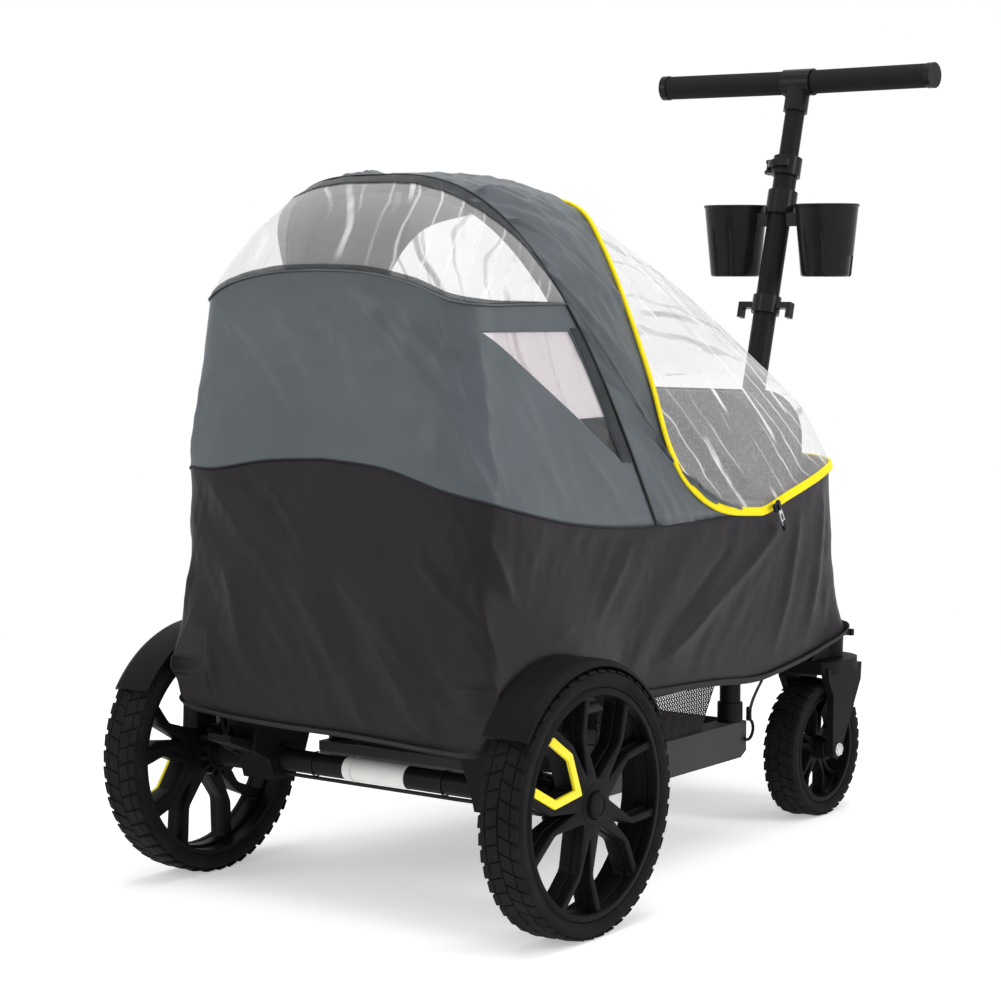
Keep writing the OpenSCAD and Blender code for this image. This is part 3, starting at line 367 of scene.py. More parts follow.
HEM = [[-101, 0, 216], [-102, -90, 217], [-107, -168, 222], [-106, -226, 232], [-48, -221, 246],
       [60, -218, 254], [160, -218, 246], [256, -218, 236], [410, -218, 228], [507, -218, 220],
       [570, -220, 224], [680, -221, 240], [757, -218, 263], [761, -110, 268], [750, 0, 267]]
BELLY = [[-110, 0, 375], [-110, -90, 375], [-108, -178, 375], [-92, -224, 375], [-44, -232, 372],
         [60, -231, 368], [160, -229, 360], [257, -229, 352], [410, -229, 352], [507, -229, 350],
         [570, -228, 346], [682, -221, 346], [749, -199, 346], [749, -110, 378], [751, 0, 380]]
SEAM = [[-107, 0, 541], [-107, -90, 534], [-105, -175, 512], [-88, -226, 500], [-40, -236, 487],
        [60, -233, 466], [160, -230, 453], [257, -228, 447], [410, -228, 444], [507, -227, 446],
        [570, -226, 460], [688, -214, 483], [752, -188, 495], [766, -112, 500], [769, 0, 501]]
CORNER, BOW_PLACE, ZIP_PLACE, LAST_PLACE = 3, 7, 9, 14


def half_to_loop(half):
    """A right half, from the back's middle outwards, becomes the whole loop."""
    left = half[:, ::-1] * [1, -1, 1]
    return np.concatenate([left[:, :-1], half], axis=1)


skirt_places = np.linspace(0, LAST_PLACE, 260)
hem_line, belly_line, seam_line = (millimetres(curve_at(c, skirt_places)) for c in (HEM, BELLY, SEAM))
climb = np.linspace(0, 1, 90)[:, None, None]
skirt_half = (hem_line * (1 - climb) * (1 - 2 * climb) + belly_line * 4 * climb * (1 - climb)
              + seam_line * climb * (2 * climb - 1))
skirt_grid = half_to_loop(skirt_half)
# the loop hangs a little askew: the hem dips at the right rear corner, the seam rises at the left
askew = np.exp(-(((skirt_grid[..., 0] - AXLE[0] + 0.1) / 0.16) ** 2))
skirt_grid[..., 2] += askew * (0.020 * climb[..., 0] ** 2 * np.clip(skirt_grid[..., 1] / 0.22, 0, 1) ** 3
                               - 0.016 * (1 - climb[..., 0]) ** 2
                               * np.clip(-skirt_grid[..., 1] / 0.22, 0, 1) ** 2)
skirt_folds = [
    # across the back: broad slack folds lean towards the low corner, short ones gather at it
    [[-111, 60, 440], [-111, -36, 280], 20, 6], [[-111, -30, 300], [-107, -66, 216], 15, 5],
    [[-111, -20, 412], [-111, -135, 308], 15, 6], [[-111, -70, 342], [-109, -134, 256], 12, 6],
    [[-111, -132, 448], [-96, -226, 345], 8, 6], [[-111, 150, 420], [-109, 122, 292], 13, 5],
    [[-108, -120, 258], [-105, -172, 226], 6, 5], [[-108, -96, 250], [-104, -140, 224], 6, 4],
    [[-111, 190, 350], [-106, 168, 232], 10, 5], [[-111, 90, 500], [-111, 30, 400], 13, -4],
    # along the right side: long shallow folds pulled back and down, short ones over the fender
    [[612, -226, 430], [555, -218, 262], 9, 6], [[560, -228, 424], [430, -230, 352], 11, 5],
    [[440, -230, 360], [280, -224, 276], 11, 6], [[432, -230, 410], [262, -228, 282], 8, -4],
    [[20, -231, 322], [84, -229, 326], 6, 6], [[10, -231, 338], [60, -229, 348], 6, 5],
    [[-92, -230, 466], [-52, -232, 384], 9, 5], [[-104, -218, 430], [-96, -226, 330], 8, 6],
    [[700, -210, 470], [640, -218, 262], 10, 6], [[740, -180, 470], [690, -214, 272], 9, 5],
    [[200, -231, 430], [110, -230, 330], 13, 5],
]
mirror_y = [[[a[0], -a[1], a[2]], [b[0], -b[1], b[2]], w, h] for a, b, w, h in skirt_folds[10:]]
skirt_height = 1.15 * crease(skirt_grid, skirt_folds + mirror_y)
back = np.clip((AXLE[0] - 0.07 - skirt_grid[..., 0]) / 0.03, 0, 1)
skirt_height += back * (ripple(skirt_grid, (0, -0.62, -0.79), 95, 11, 61, True)
                        + ripple(skirt_grid, (0, -0.5, -0.86), 40, 4, 62, True))
skirt_height += (1 - back) * (ripple(skirt_grid, (-0.75, 0, -0.66), 130, 8, 63, True)
                              + ripple(skirt_grid, (-0.5, 0, -0.85), 48, 2.5, 64, True))
skirt_height += ripple(skirt_grid, (-0.5, 0.7, -1), 18, 0.8, 4)
edge = np.minimum(climb[:, 0, 0], 1 - climb[:, 0, 0])[:, None]
skirt_height *= np.clip(edge / 0.10, 0.12, 1) ** 0.8
# over the rear wheels the cloth is held out by the inner edge of the fenders
reach = np.hypot(skirt_grid[..., 0] - AXLE[0], skirt_grid[..., 2] - AXLE[2]) * 1000
held = np.clip((270 - reach) / 100, 0, 1) ** 1.5 * np.clip(climb[..., 0] / 0.16, 0, 1) ** 0.7
held = held * (np.abs(skirt_grid[..., 1]) > 0.19) * np.clip((AXLE[0] + 0.19 - skirt_grid[..., 0]) / 0.08,
                                                            0, 1)
rest_y = np.where(skirt_grid[..., 1] < 0, -0.2535, 0.243)
skirt_grid[..., 1] += held * (rest_y - skirt_grid[..., 1])
skirt_height *= 1 - 0.85 * held
skirt_cloth = finish_of("skirt_cloth", (0.0150, 0.0120, 0.0152), 0.4, vary=0.16, patch=9, grain=1500,
                        bump=0.22, depth=0.0005, weave=420, Specular_IOR_Level=0.26)
skirt = cloth_sheet("cover_skirt", skirt_grid, skirt_cloth, 0.0012, skirt_height - 0.0005)
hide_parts("skirt_rear", "skirt_sides", "skirt_front")

# ---------------------------------------------------------------- weather cover: grey back and side panels
# One panel of coated cloth wraps the back and both sides, from the skirt's seam up to the
# band under the clear rear window. A triangular window is sewn behind a hole in each side.
BOW_RISE, BOW_LEAN, BOW_POWER = 424.0, 0.616, 3.2


def bow_points(f):
    """The leaning middle bow, from its crown (0) to its foot (1): a flattened ellipse."""
    foot = SEAM[BOW_PLACE]
    a = np.radians(90 * (1 - np.asarray(f, float)))
    up = BOW_RISE * np.sin(a) ** (2 / BOW_POWER)
    return np.stack([foot[0] - BOW_LEAN * up, foot[1] * np.cos(a) ** (2 / BOW_POWER), foot[2] + up],
                    axis=-1)


BAND_F = 0.669
TOP_EDGE = [[-110, 0, 760], [-110, -70, 757], [-109, -135, 745], [-98, -180, 727], [-60, -204, 721],
            [-10, -207, 721], [45, -208, 721], bow_points(BAND_F).tolist()]
panel_places = np.linspace(0, BOW_PLACE, 120)
seam_part, top_part = curve_at(SEAM, panel_places), curve_at(TOP_EDGE, panel_places)
up = np.linspace(0, 1, 72)[:, None, None]
pull = (np.maximum(0, panel_places - CORNER) / (BOW_PLACE - CORNER)) ** 2
bow_run = bow_points(1 + (BAND_F - 1) * up[:, 0, 0])
bow_bend = bow_run - (np.array(SEAM[BOW_PLACE]) * (1 - up[:, 0]) + bow_points(BAND_F) * up[:, 0])
panel_half = seam_part * (1 - up) + top_part * up + pull[None, :, None] * bow_bend[:, None]
panel_grid = half_to_loop(millimetres(panel_half))
askew = np.exp(-(((panel_grid[..., 0] - AXLE[0] + 0.1) / 0.16) ** 2))
panel_grid[..., 2] += 0.020 * askew * (1 - up[..., 0]) * np.clip(panel_grid[..., 1] / 0.22, 0, 1) ** 3
panel_folds = [
    # glossy folds that follow the round right corner, then run out along the side
    [[-112, -50, 728], [-112, -140, 645], 11, 6], [[-112, -126, 660], [-107, -192, 586], 11, 7],
    [[-109, -184, 602], [-86, -231, 506], 9, 7], [[-112, -108, 716], [-112, -172, 652], 8, 5],
    [[-112, -158, 668], [-98, -222, 585], 8, 6], [[-96, -222, 600], [-60, -232, 500], 8, 4],
    # the same at the left, and thin pulls that fan over the back from its corner
    [[-112, 176, 728], [-112, 96, 650], 5, 4], [[-112, 130, 692], [-112, 36, 574], 5, 4],
    [[-112, 150, 660], [-111, 104, 548], 6, 3], [[-112, 70, 700], [-112, 0, 590], 8, 3],
    [[-112, -10, 692], [-112, -62, 566], 9, 4], [[-100, 200, 640], [-92, 224, 510], 8, 5],
    # shallow folds of the sides below the windows
    [[-40, -226, 620], [60, -232, 480], 11, 3], [[90, -229, 560], [190, -228, 466], 7, 3],
    [[-40, 226, 620], [60, 232, 480], 11, 4], [[90, 229, 560], [190, 228, 466], 7, 4],
]
panel_height = crease(panel_grid, panel_folds) + ripple(panel_grid, (0.45, 0.1, -0.89), 90, 4.5, 71, True)
panel_height += ripple(panel_grid, (0.45, -0.3, -0.89), 38, 2.0, 72, True)
panel_height += ripple(panel_grid, (0.6, 0.1, -1), 22, 0.5, 9)
# the upper right of the back falls away from a line that runs down to the corner
lean_y, lean_z = panel_grid[..., 1] + 0.050, panel_grid[..., 2] - 0.720
fall = np.maximum(0, -0.843 * lean_y + 0.537 * lean_z)
fall *= np.clip((AXLE[0] - 0.075 - panel_grid[..., 0]) / 0.02, 0, 1) * (panel_grid[..., 1] < 0)
panel_height -= 0.13 * fall * np.clip((1 - up[..., 0]) / 0.25, 0, 1)
edge = np.minimum(up[:, 0, 0], 1 - up[:, 0, 0])[:, None]
panel_height *= np.clip(edge / 0.1, 0.1, 1) ** 0.8
WINDOW = [[-70, 690], [88, 688], [178, 533]]     # corners of the side windows, in X and Z
beside = np.zeros(panel_height.shape)            # how far outside the window a place is
for a, b in zip(millimetres([[x, 0, z] for x, z in WINDOW]),
                millimetres([[x, 0, z] for x, z in WINDOW[1:] + WINDOW[:1]])):
    beside = np.maximum(beside, ((b - a)[2] * (panel_grid[..., 0] - a[0])
                                 - (b - a)[0] * (panel_grid[..., 2] - a[2]))
                        / -np.hypot((b - a)[0], (b - a)[2]))
panel_height *= np.where(np.abs(panel_grid[..., 1]) > 0.17, np.clip((beside - 0.004) / 0.03, 0.0, 1), 1)
cover_cloth = finish_of("cover_cloth", (0.083, 0.097, 0.109), 0.37, vary=0.1, patch=7, grain=1500,
                        bump=0.18, depth=0.0004, weave=450, Specular_IOR_Level=0.5)
panel = cloth_sheet("cover_panel", panel_grid, cover_cloth, 0.0012, panel_height - 0.0004)
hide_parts("cover_rear_panel", "cover_side_panels")


def grown(corners, by):
    corners = np.array(corners, float)
    middle = corners.mean(axis=0)
    out = corners - middle
    return corners + by * out / np.linalg.norm(out, axis=1, keepdims=True)


def cut_triangle(piece, corners, keep_inside):
    """Cuts the mesh along the edges of a triangle seen from the side, and drops what is in or out of it."""
    corners = millimetres([[x, 0, z] for x, z in corners])
    bm = bmesh.new()
    bm.from_mesh(piece.data)
    walls = []
    for a, b in zip(corners, np.roll(corners, -1, axis=0)):
        run = b - a
        wall = Vector((run[2], 0, -run[0])).normalized()
        if wall.dot(Vector(corners.mean(axis=0) - a)) < 0:
            wall = -wall
        walls.append((Vector(a), wall))
        near = list(bm.verts) + list(bm.edges) + list(bm.faces)
        bmesh.ops.bisect_plane(bm, geom=near, dist=1e-6, plane_co=a, plane_no=wall)
    inside = [f for f in bm.faces if all((f.calc_center_median() - a).dot(w) > 0 for a, w in walls)
              and abs(f.normal.y) > 0.3]
    drop = [f for f in bm.faces if f not in set(inside)] if keep_inside else inside
    bmesh.ops.delete(bm, geom=drop, context="FACES")
    bm.to_mesh(piece.data)
    bm.free()


cut_triangle(panel, WINDOW, keep_inside=False)

# ---------------------------------------------------------------- weather cover: clear film
# Soft clear film, a little hazy, wrinkled by its folding. Where it bends it has painted highlights as white
# streaks, and it turns whiter at glancing angles as a painted reflection.


def film_finish(name, haze, painted_glint, lean, spacing=26.0):
    """Clear film: thin and bright, with a painted reflection that whitens it at glancing angles and painted
    highlights as long white streaks along its creases.
    """
    material = bpy.data.materials.new(name)
    material.use_nodes = True
    n, link = material.node_tree.nodes, material.node_tree.links.new
    shader = n["Principled BSDF"]
    shader.inputs["Base Color"].default_value = (0.95, 0.93, 0.95, 1)
    shader.inputs["Roughness"].default_value = 0.08
    shader.inputs["Specular IOR Level"].default_value = 0.6
    place = n.new("ShaderNodeTexCoord")
    turn = n.new("ShaderNodeMapping")
    turn.inputs["Rotation"].default_value = lean
    link(place.outputs["Object"], turn.inputs["Vector"])
    total = None
    # painted highlights: two sets of thin white bands, in patches, added to the film's opacity
    for scale, warp, first, share in ((spacing, 3.0, 0.965, 1.0), (spacing * 2.3, 4.5, 0.95, 0.6)):
        bands = n.new("ShaderNodeTexWave")
        bands.inputs["Scale"].default_value = scale / 6.28
        bands.inputs["Distortion"].default_value = warp
        bands.inputs["Detail"].default_value = 3
        bands.inputs["Detail Scale"].default_value = 0.6
        link(turn.outputs[0], bands.inputs["Vector"])
        thin = n.new("ShaderNodeMapRange")
        thin.inputs["From Min"].default_value, thin.inputs["From Max"].default_value = first, 1.0
        thin.inputs["To Max"].default_value = painted_glint * share
        link(bands.outputs["Fac"], thin.inputs["Value"])
        patch = n.new("ShaderNodeTexNoise")
        patch.inputs["Scale"].default_value = 7 * share
        patch.inputs["Detail"].default_value = 3
        link(place.outputs["Object"], patch.inputs["Vector"])
        where = n.new("ShaderNodeMapRange")
        where.inputs["From Min"].default_value, where.inputs["From Max"].default_value = 0.45, 0.62
        link(patch.outputs["Fac"], where.inputs["Value"])
        painted_glints = n.new("ShaderNodeMath")
        painted_glints.operation = "MULTIPLY"
        link(thin.outputs[0], painted_glints.inputs[0])
        link(where.outputs[0], painted_glints.inputs[1])
        if total is None:
            total = painted_glints
        else:
            painted_glints.operation = "MULTIPLY_ADD"
            link(total.outputs[0], painted_glints.inputs[2])
            total = painted_glints
    painted_glints = total
    # painted reflection: the white film grows more opaque at glancing angles
    glance = n.new("ShaderNodeLayerWeight")
    glance.inputs["Blend"].default_value = 0.16
    more = n.new("ShaderNodeMath")
    more.operation = "MULTIPLY_ADD"
    more.inputs[1].default_value = 0.36
    more.inputs[2].default_value = haze
    link(glance.outputs["Facing"], more.inputs[0])
    total = n.new("ShaderNodeMath")
    total.operation = "ADD"
    total.use_clamp = True
    link(more.outputs[0], total.inputs[0])
    link(painted_glints.outputs[0], total.inputs[1])
    link(total.outputs[0], shader.inputs["Alpha"])
    relief = n.new("ShaderNodeBump")
    relief.inputs["Strength"].default_value = 0.3
    relief.inputs["Distance"].default_value = 0.003
    link(bands.outputs["Fac"], relief.inputs["Height"])
    link(relief.outputs[0], shader.inputs["Normal"])
    return material


clear_film = film_finish("clear_film", 0.05, 0.75, (0.2, 0.85, 0.1), 30.0)
rear_clear = film_finish("rear_clear_film", 0.09, 0.4, (0.1, -0.6, 0.5), 34.0)
side_clear = film_finish("side_clear_film", 0.38, 0.3, (0.0, 0.4, 0.0), 14.0)
side_clear.node_tree.nodes["Principled BSDF"].inputs["Base Color"].default_value = (0.60, 0.53, 0.56, 1)
ZIP_HOOD = [[250, 0, 857], [248, -60, 850], [238, -125, 832], [227, -165, 788], [224, -198, 724],
            [243, -224, 629], [281, -228, 543], [333, -227, 491], [410, -227, 457], SEAM[ZIP_PLACE]]
CREST = [[744, 0, 612], [743, -70, 609], [740, -118, 598], [735, -150, 578], [722, -178, 550],
         [700, -196, 523], [662, -208, 500], [610, -217, 481], [555, -224, 461], SEAM[ZIP_PLACE]]
FRONT_RIM = [SEAM[i] for i in range(LAST_PLACE, ZIP_PLACE - 1, -1)]


def along(points, f):
    return curve_at(points, np.asarray(f) * (len(points) - 1))


def loft(a, b, rows, columns, swell, stop=1.0):
    """A surface between two half curves, swollen outwards between them, as a whole left-right grid."""
    f = stop * np.linspace(0, 1, columns)
    t = np.linspace(0, 1, rows)[:, None, None]
    first = bow_points(f) if isinstance(a, str) else along(a, f)
    second = bow_points(f * BAND_F) if isinstance(b, str) else along(b, f)
    half = millimetres(first * (1 - t) + second * t)
    rise = swell / 1000 * ((1 - f) * (1 + f))[None, :] * 4 * (t * (1 - t))[..., 0]
    half = half + grid_normals(half) * rise[..., None]
    return half_to_loop(half)


rear_grid = loft(TOP_EDGE, "bow", 46, 90, 14, 0.985)
rear_height = crease(rear_grid, [
    [[-100, -150, 745], [-10, -60, 872], 10, 3], [[-105, -60, 760], [-20, 30, 872], 9, 3],
    [[-100, 60, 760], [-10, 120, 850], 9, 3], [[-60, -195, 735], [20, -150, 830], 9, -3],
    [[0, -200, 735], [40, -180, 790], 8, 3], [[-90, 120, 755], [-40, 150, 810], 8, 3]])
rear_height += ripple(rear_grid, (0.7, 0.35, 0.6), 34, 1.6, 21)
rear_window = cloth_sheet("rear_window", rear_grid, rear_clear, 0.0004, rear_height)
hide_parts("rear_film")

smoke = finish_of("smoked_border", (0.05, 0.055, 0.06), 0.16, vary=0.3, patch=30, grain=300, bump=0.1,
                  Alpha=0.62, Specular_IOR_Level=0.6)
rear_relief = rear_grid + grid_normals(rear_grid) * (rear_height + 0.0012)[..., None]
bow_border = cloth_sheet("rear_window_bow_border", rear_relief[39:], smoke, 0.0004)
low_border = cloth_sheet("rear_window_low_border", rear_relief[:3], smoke, 0.0004)

over_grid = loft(ZIP_HOOD, CREST, 70, 90, 8, 0.99)
down_grid = loft(CREST, FRONT_RIM, 12, 90, 2, 0.99)
front_grid = np.concatenate([over_grid, down_grid[1:]], axis=0)
front_height = crease(front_grid, [
    [[250, -60, 850], [640, -60, 665], 12, 3], [[230, -170, 780], [560, -190, 600], 11, -3],
    [[235, -210, 690], [640, -205, 520], 11, 4], [[300, 60, 835], [700, 40, 635], 12, 3],
    [[250, -220, 610], [520, -222, 470], 9, 4], [[300, -226, 525], [480, -225, 470], 8, -3],
    [[250, -140, 815], [700, -120, 620], 10, 3], [[330, 130, 760], [690, 130, 600], 12, 3]])
front_height += ripple(front_grid, (0.8, 0.1, -0.5), 38, 1.8, 22)
front_window = cloth_sheet("front_window", front_grid, clear_film, 0.0004, front_height)
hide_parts("front_film")

side_film = cloth_sheet("side_window_film", panel_grid - grid_normals(panel_grid) * 0.003, side_clear,
                        0.0004, ripple(panel_grid, (0.4, 0, -1), 40, 1.2, 23))
cut_triangle(side_film, grown(WINDOW, 9), keep_inside=True)
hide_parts("side_windows")
side_tip = cloth_sheet("side_window_tip", panel_grid - grid_normals(panel_grid) * 0.0018, smoke,
                       0.0004)
cut_triangle(side_tip, [[98, 586], [152, 586], [182, 527]], keep_inside=True)
side_frame = cloth_sheet("side_window_frame", panel_grid + grid_normals(panel_grid) * 0.0006, smoke,
                         0.0004)
cut_triangle(side_frame, [[89, 692], [108, 692], [200, 528], [179, 530]], keep_inside=True)

# ---------------------------------------------------------------- weather cover: grey hood
# A broad band of cloth over the crown between the middle bow and the zip. It is gathered a
# little into both seams, so short wrinkles run from one to the other.
hood_grid = loft("bow", ZIP_HOOD, 60, 130, 12)
f_side = np.linspace(-1, 1, hood_grid.shape[1])[None, :]
t_band = np.linspace(0, 1, hood_grid.shape[0])[:, None]
rng = np.random.default_rng(31)
hood_height = np.zeros(hood_grid.shape[:2])
for k in range(54):
    middle = rng.uniform(-1, 1)
    lean, reach, size = rng.uniform(-0.16, 0.16), rng.uniform(0.4, 1.1), rng.uniform(1.8, 5.0)
    start = 0 if k % 2 else 1
    gap = (f_side - middle - lean * t_band) / rng.uniform(0.008, 0.02)
    fade = np.clip(1 - np.abs(t_band - start) / reach, 0, 1) * np.clip(np.abs(t_band - start) / 0.06,
                                                                       0.2, 1)
    hood_height += 1.6 * size / 1000 * np.exp(-np.abs(gap) ** 1.5) * fade * (1 if k % 3 else -1)
hood_height += ripple(hood_grid, (0.6, 0.0, -0.8), 44, 6, 12, True)
hood_height = (hood_height + 0.0006) * np.clip(np.minimum(t_band, 1 - t_band) / 0.08, 0, 1) - 0.0006
hood = cloth_sheet("cover_hood_cloth", hood_grid, cover_cloth, 0.0012,
                   hood_height - 0.0004)
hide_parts("cover_hood")

# ---------------------------------------------------------------- seams, bindings and zip of the cover
# Black binding tape covers the joins between cloth and film; the hem is bound and elastic.
binding_cloth = finish_of("binding_tape", (0.012, 0.012, 0.013), 0.7, vary=0.2, patch=60, grain=1800,
                          bump=0.3, depth=0.0004, weave=900)


def on_surface(path, out):
    """Points moved out from the middle of the cabin."""
    middle = np.stack([np.clip(path[:, 0], AXLE[0] + 0.04, AXLE[0] + 0.64), np.zeros(len(path)),
                       np.full(len(path), 0.42)], axis=1)
    away = path - middle
    return path + out * away / np.linalg.norm(away, axis=1, keepdims=True)


bow_line = half_to_loop(millimetres(bow_points(np.linspace(0, 1, 90)))[None])[0]
bow_seam = ribbon("bow_seam", bow_line, 0.0042, 0.0016, binding_cloth)
# painted shade: a thin black strip along the stitched seam between the grey panel and the dark skirt stands
# in for the seam's shadow
skirt_seam = ribbon("skirt_seam", skirt_grid[-1][:-1], 0.0022, 0.0008, binding_cloth,
                    closed=True)
hem_binding = ribbon("hem_binding", skirt_grid[0][:-1] + [0, 0, 0.004], 0.012, 0.0016, binding_cloth,
                     closed=True)
band_seam = ribbon("band_seam", panel_grid[-1], 0.005, 0.0012, cover_cloth)

zip_yellow = finish_of("zip_yellow", (0.93, 0.74, 0.01), 0.5, vary=0.08, patch=80, grain=600, bump=0.2)
zip_line = np.concatenate([along(ZIP_HOOD, np.linspace(0, 1, 90)),
                           curve_at(SEAM, np.linspace(ZIP_PLACE, LAST_PLACE, 50)[1:])])
zip_line = half_to_loop(millimetres(zip_line)[None])[0]
zip_width = 0.0115 * (0.55 + 0.45 * np.clip((0.74 - zip_line[:-1, 2]) / 0.24, 0, 1))
zip_coil = ribbon("zip_coil", zip_line[:-1], zip_width, 0.0034, zip_yellow, closed=True,
                  out=0.0006)
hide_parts("cover_zip")

# ---------------------------------------------------------------- rear tyres
# Foam-filled tyres of black rubber: a smooth carcass with a bead line, and a chevron tread of
# raised lugs that is moulded round it.


def lathe(profile, steps=128):
    """Points and faces of a closed outline [radius, height] turned about Z."""
    profile = np.array(profile, float)
    turn = np.arange(steps) * 2 * pi / steps
    points = np.stack([np.outer(np.cos(turn), profile[:, 0]), np.outer(np.sin(turn), profile[:, 0]),
                       np.outer(np.ones(steps), profile[:, 1])], axis=2).reshape(-1, 3)
    n = len(profile)
    faces = [(i * n + k, ((i + 1) % steps) * n + k, ((i + 1) % steps) * n + (k + 1) % n,
              i * n + (k + 1) % n)
             for i in range(steps) for k in range(n)]
    return points / 1000, faces


def rounded(outline, radius, steps=4):
    """An outline [x, y] with its corners rounded."""
    outline = [np.array(p, float) for p in outline]
    out = []
    for k, corner in enumerate(outline):
        a, b = outline[k - 1] - corner, outline[(k + 1) % len(outline)] - corner
        la, lb = np.linalg.norm(a), np.linalg.norm(b)
        cut = min(radius, la * 0.45, lb * 0.45)
        p, q = corner + a / la * cut, corner + b / lb * cut
        for t in np.linspace(0, 1, steps + 1):
            out.append((1 - t) ** 2 * p + 2 * t * (1 - t) * corner + t**2 * q)
    return np.array(out)


def axle_frame(centre, side):
    """Where a wheel's own frame lies: its +Z runs outwards along the axle."""
    columns = [(1, 0, 0), (0, 0, -1), (0, 1, 0)] if side > 0 else [(1, 0, 0), (0, 0, 1), (0, -1, 0)]
    return Matrix.Translation(centre) @ Matrix(columns).transposed().to_4x4()


def placed(piece, frame_matrix):
    piece.data.transform(frame_matrix)
    return piece


def repeat_round(name, unit, count, radius, material, frame_matrix, body, start=0.0):
    """Copies of a unit mesh round an axle, made by a node tree and turned into one plain mesh."""
    tree = bpy.data.node_groups.new(name + "_round", "GeometryNodeTree")
    tree.interface.new_socket("Geometry", in_out="INPUT", socket_type="NodeSocketGeometry")
    sockets = {}
    for label, kind in (("Count", "NodeSocketInt"), ("Radius", "NodeSocketFloat"),
                        ("Start", "NodeSocketFloat"), ("Unit", "NodeSocketObject")):
        sockets[label] = tree.interface.new_socket(label, in_out="INPUT", socket_type=kind).identifier
    tree.interface.new_socket("Geometry", in_out="OUTPUT", socket_type="NodeSocketGeometry")
    n, link = tree.nodes, tree.links.new
    given, result = n.new("NodeGroupInput"), n.new("NodeGroupOutput")
    ring = n.new("GeometryNodeMeshCircle")
    link(given.outputs["Count"], ring.inputs["Vertices"])
    link(given.outputs["Radius"], ring.inputs["Radius"])
    where, face_out = n.new("GeometryNodeInputPosition"), n.new("FunctionNodeAlignRotationToVector")
    face_out.axis = "X"
    link(where.outputs[0], face_out.inputs["Vector"])
    source = n.new("GeometryNodeObjectInfo")
    link(given.outputs["Unit"], source.inputs["Object"])
    copies = n.new("GeometryNodeInstanceOnPoints")
    link(ring.outputs["Mesh"], copies.inputs["Points"])
    link(source.outputs["Geometry"], copies.inputs["Instance"])
    link(face_out.outputs["Rotation"], copies.inputs["Rotation"])
    turned, spin = n.new("GeometryNodeTransform"), n.new("ShaderNodeCombineXYZ")
    link(given.outputs["Start"], spin.inputs["Z"])
    link(copies.outputs["Instances"], turned.inputs["Geometry"])
    link(spin.outputs[0], turned.inputs["Rotation"])
    real, finish = n.new("GeometryNodeRealizeInstances"), n.new("GeometryNodeSetMaterial")
    finish.inputs["Material"].default_value = material
    link(turned.outputs["Geometry"], real.inputs["Geometry"])
    link(real.outputs["Geometry"], finish.inputs["Geometry"])
    link(finish.outputs["Geometry"], result.inputs[0])
    seed = bpy.data.objects.new(name + "_seed", bpy.data.meshes.new(name + "_seed"))
    bpy.context.collection.objects.link(seed)
    grow = seed.modifiers.new("round", "NODES")
    grow.node_group = tree
    for label, value in (("Count", count), ("Radius", radius), ("Start", start), ("Unit", unit)):
        grow[sockets[label]] = value
    bpy.context.view_layer.update()
    mesh = bpy.data.meshes.new_from_object(seed.evaluated_get(bpy.context.evaluated_depsgraph_get()))
    bpy.data.objects.remove(seed)
    mesh.name = name
    mesh.transform(frame_matrix)
    piece = bpy.data.objects.new(name, mesh)
    bpy.context.collection.objects.link(piece)
    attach(piece, body)
    return piece


def scratch_unit(name, points, faces):
    """A mesh that is only copied from, so it is taken away once it has been used."""
    mesh = bpy.data.meshes.new(name)
    mesh.from_pydata([tuple(p) for p in points], [], faces)
    unit = bpy.data.objects.new(name, mesh)
    bpy.context.collection.objects.link(unit)
    return unit


def tread_unit(half_width, pitch, height):
    """One pair of lugs: two slanting bars of a chevron, the second half a pitch behind."""
    points, faces = [], []
    for hand in (-1, 1):
        base = 0.0 if hand > 0 else pitch / 2
        for inner, outer, lean0, lean1, long_in, long_out in (
                (0.015, 0.6, 0.0, 0.26, 0.9, 0.91), (0.625, 1.0, 0.28, 0.44, 0.9, 0.72)):
            ring = []
            for level, shrink in ((-0.8, 0.0), (height, 0.4)):
                for y, lean, size in ((inner, lean0, long_in), (outer, lean1, long_out)):
                    for end in ((-1, 1) if y == inner else (1, -1)):
                        ring.append((level - (y > 0.9) * 1.4,
                                     base + lean * pitch + end * (size * pitch / 2 - shrink),
                                     hand * (y * half_width + (shrink if y == inner else -shrink))))
            k = len(points)
            points += [tuple(c / 1000 for c in p) for p in ring]
            quads = [(0, 1, 2, 3), (7, 6, 5, 4), (0, 4, 5, 1), (1, 5, 6, 2), (2, 6, 7, 3), (3, 7, 4, 0)]
            faces += [tuple(k + i for i in (q if hand > 0 else q[::-1])) for q in quads]
    return points, faces


rubber = finish_of("tyre_rubber", (0.0125, 0.0125, 0.0135), 0.66, vary=0.25, patch=30, grain=700,
                   bump=0.25, depth=0.0005, Specular_IOR_Level=0.14)
SIDES = (("left", 1), ("right", -1))


def wheel_centre(node):
    low, high = (np.array(c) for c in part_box(node))
    return (low + high) / 2, (high[2] - low[2]) / 2 * 1000, (high[1] - low[1]) / 2 * 1000


